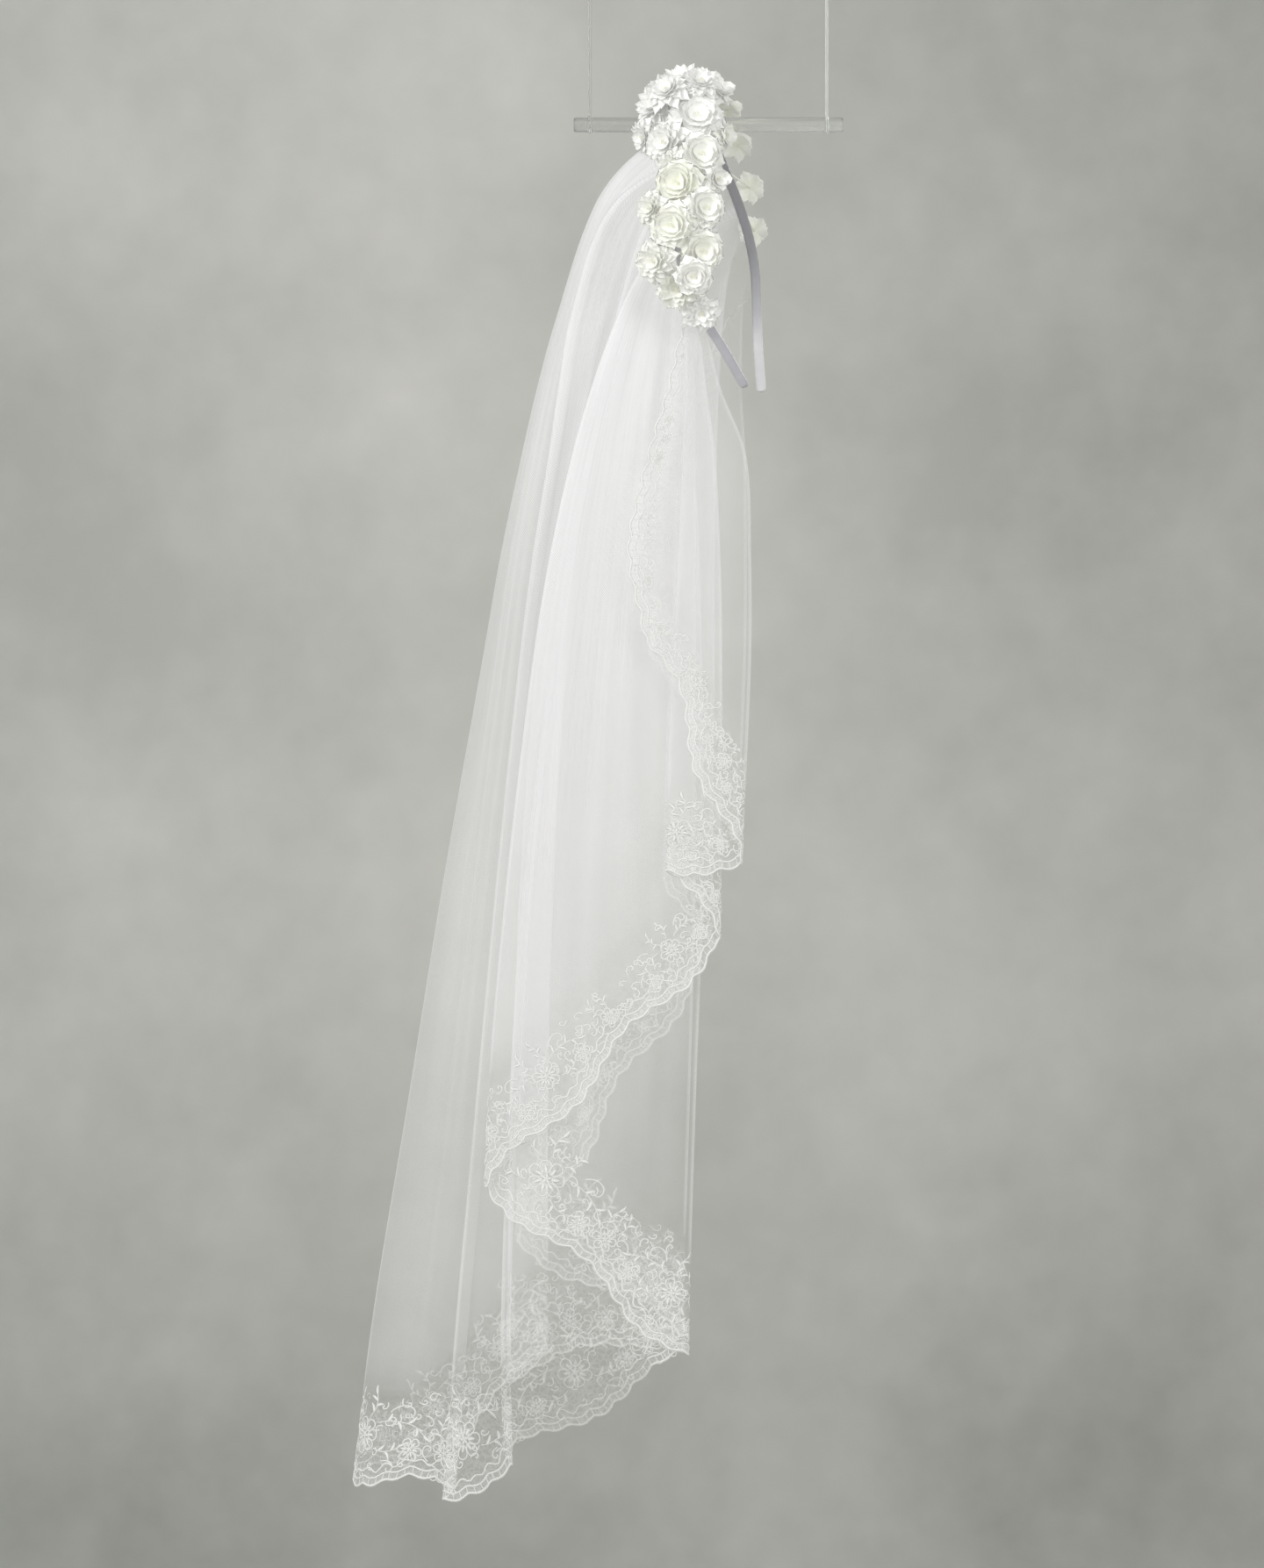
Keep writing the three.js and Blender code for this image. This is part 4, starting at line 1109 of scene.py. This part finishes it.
CORNER_STEPS = round(42 / EDGE_STEP)
CORNER = NEAR_TURN - CORNER_STEPS
FAR_CORNER = FAR_TURN + CORNER_STEPS
edging("near_edge_lace", 0, CORNER, "lace_near_edge")
edging("near_hem_lace", CORNER, NEAR_TURN + NEAR_SPLIT, "lace_near_hem")
edging("back_hem_lace", NEAR_TURN + NEAR_SPLIT, NEAR_TURN + FAR_SPLIT, "lace_back_hem")
edging("far_hem_lace", NEAR_TURN + FAR_SPLIT, FAR_CORNER, "lace_far_hem")
edging("far_edge_lace", FAR_CORNER, len(ROUTE) - 1, "lace_far_edge")

# %% [markdown]
# ## The headband
# A slim band wound with satin ribbon. Each turn of the ribbon overlaps the last, which leaves slanting
# ridges about four millimetres apart, so the section swells and dips as it goes. Satin shines along its
# weave, so its roughness is low and uneven, with fine lines in the bump. Its colour carries painted light
# and shade on the far arm: painted shade from just past the top down most of that arm, and painted light
# that makes its lower end paler.

# %% Satin band
satin = Finish("satin_ribbon")
spot, u, v = satin.place()
lines = satin.node("ShaderNodeTexWave", {"bands_direction": "Y"},
                   {"Vector": spot, "Scale": 620.0, "Distortion": 1.5, "Detail": 1.0}, out="Fac")
patches = satin.noise(160.0, 2.0, Vector=spot)
# Painted light and shade along the band: the lower end of the far arm is painted paler, and the far arm from
# just past the top down to there is painted darker, as shade. The patches are the satin's own uneven tone.
far_arm_painted_light = u.above(0.78 * BAND_REACH[-1] * MM, 0.92 * BAND_REACH[-1] * MM)
far_arm_painted_shade = u.above(0.5 * BAND_REACH[-1] * MM, 0.55 * BAND_REACH[-1] * MM) * (1 - far_arm_painted_light)
tone = satin.mixed((patches * 0.3 + far_arm_painted_light * 0.7).limited(), rgb(184, 184, 192), rgb(232, 232, 234))
SATIN = satin.done({"Base Color": satin.mixed(far_arm_painted_shade * 0.8, tone, rgb(140, 140, 144)),
                    "Roughness": 0.28 + patches * 0.2, "Normal": satin.bump(lines, 0.0001, 0.4),
                    "Anisotropic": 0.4, "Sheen Weight": 0.2})

WIND = {"turn": 4.2, "lap": 0.22, "stations": 300, "sides": 20}
stations, uv = [], []
for n in range(WIND["stations"] + 1):
    place = n / WIND["stations"]
    point, across, out = band_axes(place)
    stations.append((point * MM, across * MM, out * MM))


def band_section(n):
    reach = n / WIND["stations"] * BAND_REACH[-1]
    end = min(1.0, 0.55 + 0.45 * min(reach, BAND_REACH[-1] - reach) / 1.5)
    shape = []
    for k in range(WIND["sides"]):
        a = 2 * math.pi * k / WIND["sides"]
        lap = ((reach + 2.6 * math.sin(a)) / WIND["turn"]) % 1.0
        lift = WIND["lap"] * (1 - lap) ** 2 - 0.1
        u = math.copysign(abs(math.cos(a)) ** 0.62, math.cos(a)) * (BAND["width"] / 2 + lift * 0.6) * end
        v = math.copysign(abs(math.sin(a)) ** 0.62, math.sin(a)) * (BAND["thickness"] / 2 + lift) * end
        shape.append((u, v))
    return shape


points, faces = tube(stations, [(0, 0)] * WIND["sides"])
points = [point + across * u + out * v for n, (point, across, out) in enumerate(stations)
          for u, v in band_section(n)]
uv = [(n / WIND["stations"] * BAND_REACH[-1] * MM, k * 0.0007) for n in range(WIND["stations"] + 1)
      for k in range(WIND["sides"])]
band = piece("satin_band", points, faces, [SATIN], "satin", ["headband"], uv=uv)
print("band", len(faces) * 2, "triangles")

# %% [markdown]
# ## Flowers
# The flowers are cut from thin cloth in layers, each petal pressed into a curl, with a small bunch of
# stamens. They are white, with a green-yellow blush towards the heart that is stronger down both arms. On
# the far arm the stronger blush is partly painted shade, darkening flowers that sit in shade behind the net,
# and every petal has a faint painted glow. Each one stands where its solid does, and its wire runs to the
# band.

# %% Petal finishes
petal = Finish("petal_cloth")
spot, u, v = petal.place()
vein = petal.node("ShaderNodeTexWave", {"bands_direction": "X"},
                  {"Vector": spot, "Scale": 3.2, "Distortion": 2.0, "Detail": 2.0, "Detail Scale": 2.0},
                  out="Fac")
mottle = petal.noise(260.0, 3.0)
blush = (petal.worn("blush") * (0.75 + mottle * 0.5)).limited()
# The faint emission is painted light: a glow that lifts the shaded gaps between the petals, in place of the
# light that passes through the thin cloth.
PETAL = petal.done({"Base Color": petal.mixed(blush, (0.965, 0.965, 0.955, 1), (0.8, 0.83, 0.58, 1)),
                    "Roughness": 0.62 + mottle * 0.15, "Normal": petal.bump(vein + mottle, 0.0002, 0.4),
                    "Sheen Weight": 0.3, "Specular IOR Level": 0.3, "Emission Color": (1, 1, 0.97, 1),
                    "Emission Strength": 0.05})
heart = Finish("flower_heart")
grain = heart.noise(1500.0, 2.0)
HEART = heart.done({"Base Color": heart.mixed(grain, (0.84, 0.85, 0.66, 1), (0.93, 0.93, 0.84, 1)),
                    "Roughness": 0.7, "Normal": heart.bump(grain, 0.0003, 0.6)})

# %% The flowers' places, as on the solids
# The last number of a row is the blush. The four far-arm rows (y from 20 to 68) have 0.5: partly the flowers'
# own green-cream, partly painted shade for flowers that sit in shade behind the net.
FLOWERS = [
    (-27, -17, -60, (-0.75, -0.55, 0.3), 12.5, 9, "pointed", 0.455, 0.04),
    (-14, -6, -47.5, (-0.3, -0.4, 0.87), 12.5, 9, "pointed", 0.475, 0.04),
    (4.5, -8, -52, (0.6, -0.45, 0.66), 11, 6, "round", 0.49, 0.08),
    (-6, -32, -67, (0.1, -0.93, 0.34), 12.5, 7, "round", 0.432, 0.06),
    (-22, -37, -81, (-0.55, -0.8, 0.1), 11, 8, "pointed", 0.42, 0.1),
    (-4, -51, -88, (0.2, -0.93, 0.25), 11, 6, "round", 0.385, 0.25),
    (-16, -61, -103, (-0.3, -0.94, 0.15), 10.5, 6, "round", 0.345, 0.6),
    (-2, -67, -116, (0.3, -0.94, 0.1), 10.5, 6, "round", 0.31, 0.25),
    (-19, -70, -125, (-0.25, -0.96, 0.05), 10, 6, "round", 0.28, 0.45),
    (-3.5, -69, -138, (0.25, -0.96, -0.05), 10.5, 6, "round", 0.25, 0.4),
    (-28, -66, -143, (-0.45, -0.88, 0), 9.5, 8, "pointed", 0.235, 0.3),
    (-16, -66, -157, (-0.2, -0.95, -0.2), 9.5, 8, "pointed", 0.205, 0.45),
    (-4, -61.5, -169, (0.1, -0.93, -0.3), 9, 8, "pointed", 0.17, 0.03),
    (10, 20, -61, (0.5, 0.5, 0.7), 10, 6, "round", 0.545, 0.5),
    (15, 45, -77, (0.4, 0.75, 0.5), 10, 6, "round", 0.6, 0.5),
    (22, 61, -98, (0.3, 0.93, 0.2), 9.5, 6, "round", 0.655, 0.5),
    (24, 68, -120, (0.2, 0.97, 0), 9, 6, "round", 0.71, 0.5),
    (-21, -30, -54, (-0.45, -0.65, 0.6), 9.5, 8, "pointed", 0.445, 0.03),
    (-4, -28, -49.5, (0.15, -0.75, 0.64), 9.5, 8, "pointed", 0.465, 0.03),
    (-24, 9, -51, (-0.65, 0.3, 0.7), 10.5, 9, "pointed", 0.525, 0.04),
    (-19, -47, -94, (-0.7, -0.7, 0.1), 8.5, 8, "pointed", 0.37, 0.3),
    (4, -59, -101, (0.6, -0.8, 0.1), 8.5, 6, "round", 0.325, 0.15),
    (-30, -64, -116, (-0.6, -0.8, 0.1), 8, 8, "pointed", 0.3, 0.3),
    (-8, -75, -151, (0.1, -0.98, -0.15), 8, 6, "round", 0.225, 0.2),
    (-33, -22, -77, (-0.85, -0.5, -0.2), 8.5, 8, "pointed", 0.425, 0.05),
    (8, -29, -77, (0.85, -0.5, 0.1), 8.5, 6, "round", 0.4, 0.3),
]
PETAL_SHAPE = {"pointed": (0.68, 1.15), "round": (0.42, 0.8)}
WIRE = 0.55


def one_petal(radius, width, tip, lift, curl, turn, hand):
    """A curled petal from the heart outwards: its points, faces and places from heart to tip."""
    long, wide = 7, 6
    power, bulge = PETAL_SHAPE[tip]
    points, uv = [], []
    twist, wave = hand.uniform(-0.15, 0.15), hand.uniform(0.2, 0.6)
    for i in range(long + 1):
        t = i / long
        half = width / 2 * (0.2 + 0.8 * math.sin(math.pi * min(0.06 + 0.94 * t, 1) ** bulge) ** power)
        half = half if i < long else half * 0.55
        for j in range(wide + 1):
            s = j / wide * 2 - 1
            reach = radius * (0.08 + 0.92 * t) - 0.07 * radius * s * s * t
            height = lift * reach * t + curl * radius * t ** 3 * 0.4 + 0.35 * half * s * s \
                + wave * 0.5 * math.sin(3 * s + 5 * t) * t
            side = s * half + twist * reach * t
            points.append(Vector((reach * math.cos(turn) - side * math.sin(turn),
                                  reach * math.sin(turn) + side * math.cos(turn), height)))
            uv.append((s, t))
    row = wide + 1
    faces = [(i * row + j, (i + 1) * row + j, (i + 1) * row + j + 1, i * row + j + 1)
             for i in range(long) for j in range(wide)]
    return points, faces, uv


def bead(centre, radius, rings=4, sides=6):
    points = [centre + Vector((0, 0, radius))]
    for r in range(1, rings):
        a = math.pi * r / rings
        points += [centre + Vector((u, v, radius * math.cos(a))) for u, v in circle(radius * math.sin(a), sides)]
    points.append(centre - Vector((0, 0, radius)))
    faces = [(0, 1 + k, 1 + (k + 1) % sides) for k in range(sides)]
    for r in range(rings - 2):
        a, b = 1 + r * sides, 1 + (r + 1) * sides
        faces += [(a + k, b + k, b + (k + 1) % sides, a + (k + 1) % sides) for k in range(sides)]
    last = 1 + (rings - 2) * sides
    faces += [(len(points) - 1, last + (k + 1) % sides, last + k) for k in range(sides)]
    return points, faces


def flower(number, x, y, z, face, radius, petals, tip, place, tint_and_painted_shade):
    hand = random.Random(40 + number)
    points, faces, looks, uv, blush = [], [], [], [], []

    def put(some, corners, look, places=None, tone=None):
        start = len(points)
        points.extend(some)
        faces.extend(tuple(start + c for c in corner) for corner in corners)
        looks.extend([look] * len(corners))
        uv.extend(places or [(0, 0)] * len(some))
        blush.extend(tone or [0.0] * len(some))
    more = 2 if tip == "pointed" else 0
    close = 0.42 * ease((x + 9) / 14)
    layers = ((petals, 1.42 - close, -0.26, -0.3), (petals + more, 1.25 - 0.9 * close, 0.0, -0.3),
              (petals + more - 1, 1.0 - close / 2, 0.28, 0.1),
              (petals + more - 2, 0.76, 0.6, 0.2), (max(petals - 3, 3), 0.48, 1.05, 0.1))
    for layer, (count, size, lift, curl) in enumerate(layers):
        wide = (2.9 if tip == "pointed" else 3.3) * math.pi * radius * size * 0.42 / count * (1 - 0.6 * close)
        for n in range(count):
            turn = 2 * math.pi * (n + 0.5 * (layer % 2)) / count + hand.uniform(-0.12, 0.12)
            some, corners, places = one_petal(
                radius * size * hand.uniform(0.92, 1.02), wide * 1.25, tip, lift + hand.uniform(-0.04, 0.06),
                curl * hand.uniform(0.3, 1), turn, hand)
            tones = [tint_and_painted_shade * (1 - 0.7 * t) * hand.uniform(0.5, 1.3) for s, t in places]
            put(some, corners, 0, places, tones)
    for n in range(7):
        a, r = 2.4 * n, 0.045 * radius * math.sqrt(n)
        put(*bead(Vector((r * math.cos(a), r * math.sin(a), 0.24 * radius - 0.1 * r)), 0.45), 1)
    facing = Z.rotation_difference(Vector(face).normalized())
    centre = Vector((x, y, z))
    points[:] = [facing @ p + centre for p in points]
    band_at, _, out = band_axes(place)
    foot = band_at + out * (BAND["thickness"] / 2 + 0.05)
    reach = (centre - foot).normalized()
    side = reach.cross(Vector((0.1, 0.2, 1))).normalized()
    wire, corners = tube([(p, side, reach.cross(side)) for p in (foot, foot.lerp(centre, 0.5), centre)],
                         circle(WIRE, 6))
    put(wire, corners, 0, tone=[0.4] * len(wire))
    piece("bloom_%02d" % number, [p * MM for p in points], faces, [PETAL, HEART], "petal",
          ["flower_%02d" % number], looks=looks, uv=uv, numbers={"blush": blush})
    return len(faces)


print("flowers", 2 * sum(flower(n + 1, *row) for n, row in enumerate(FLOWERS)), "triangles")
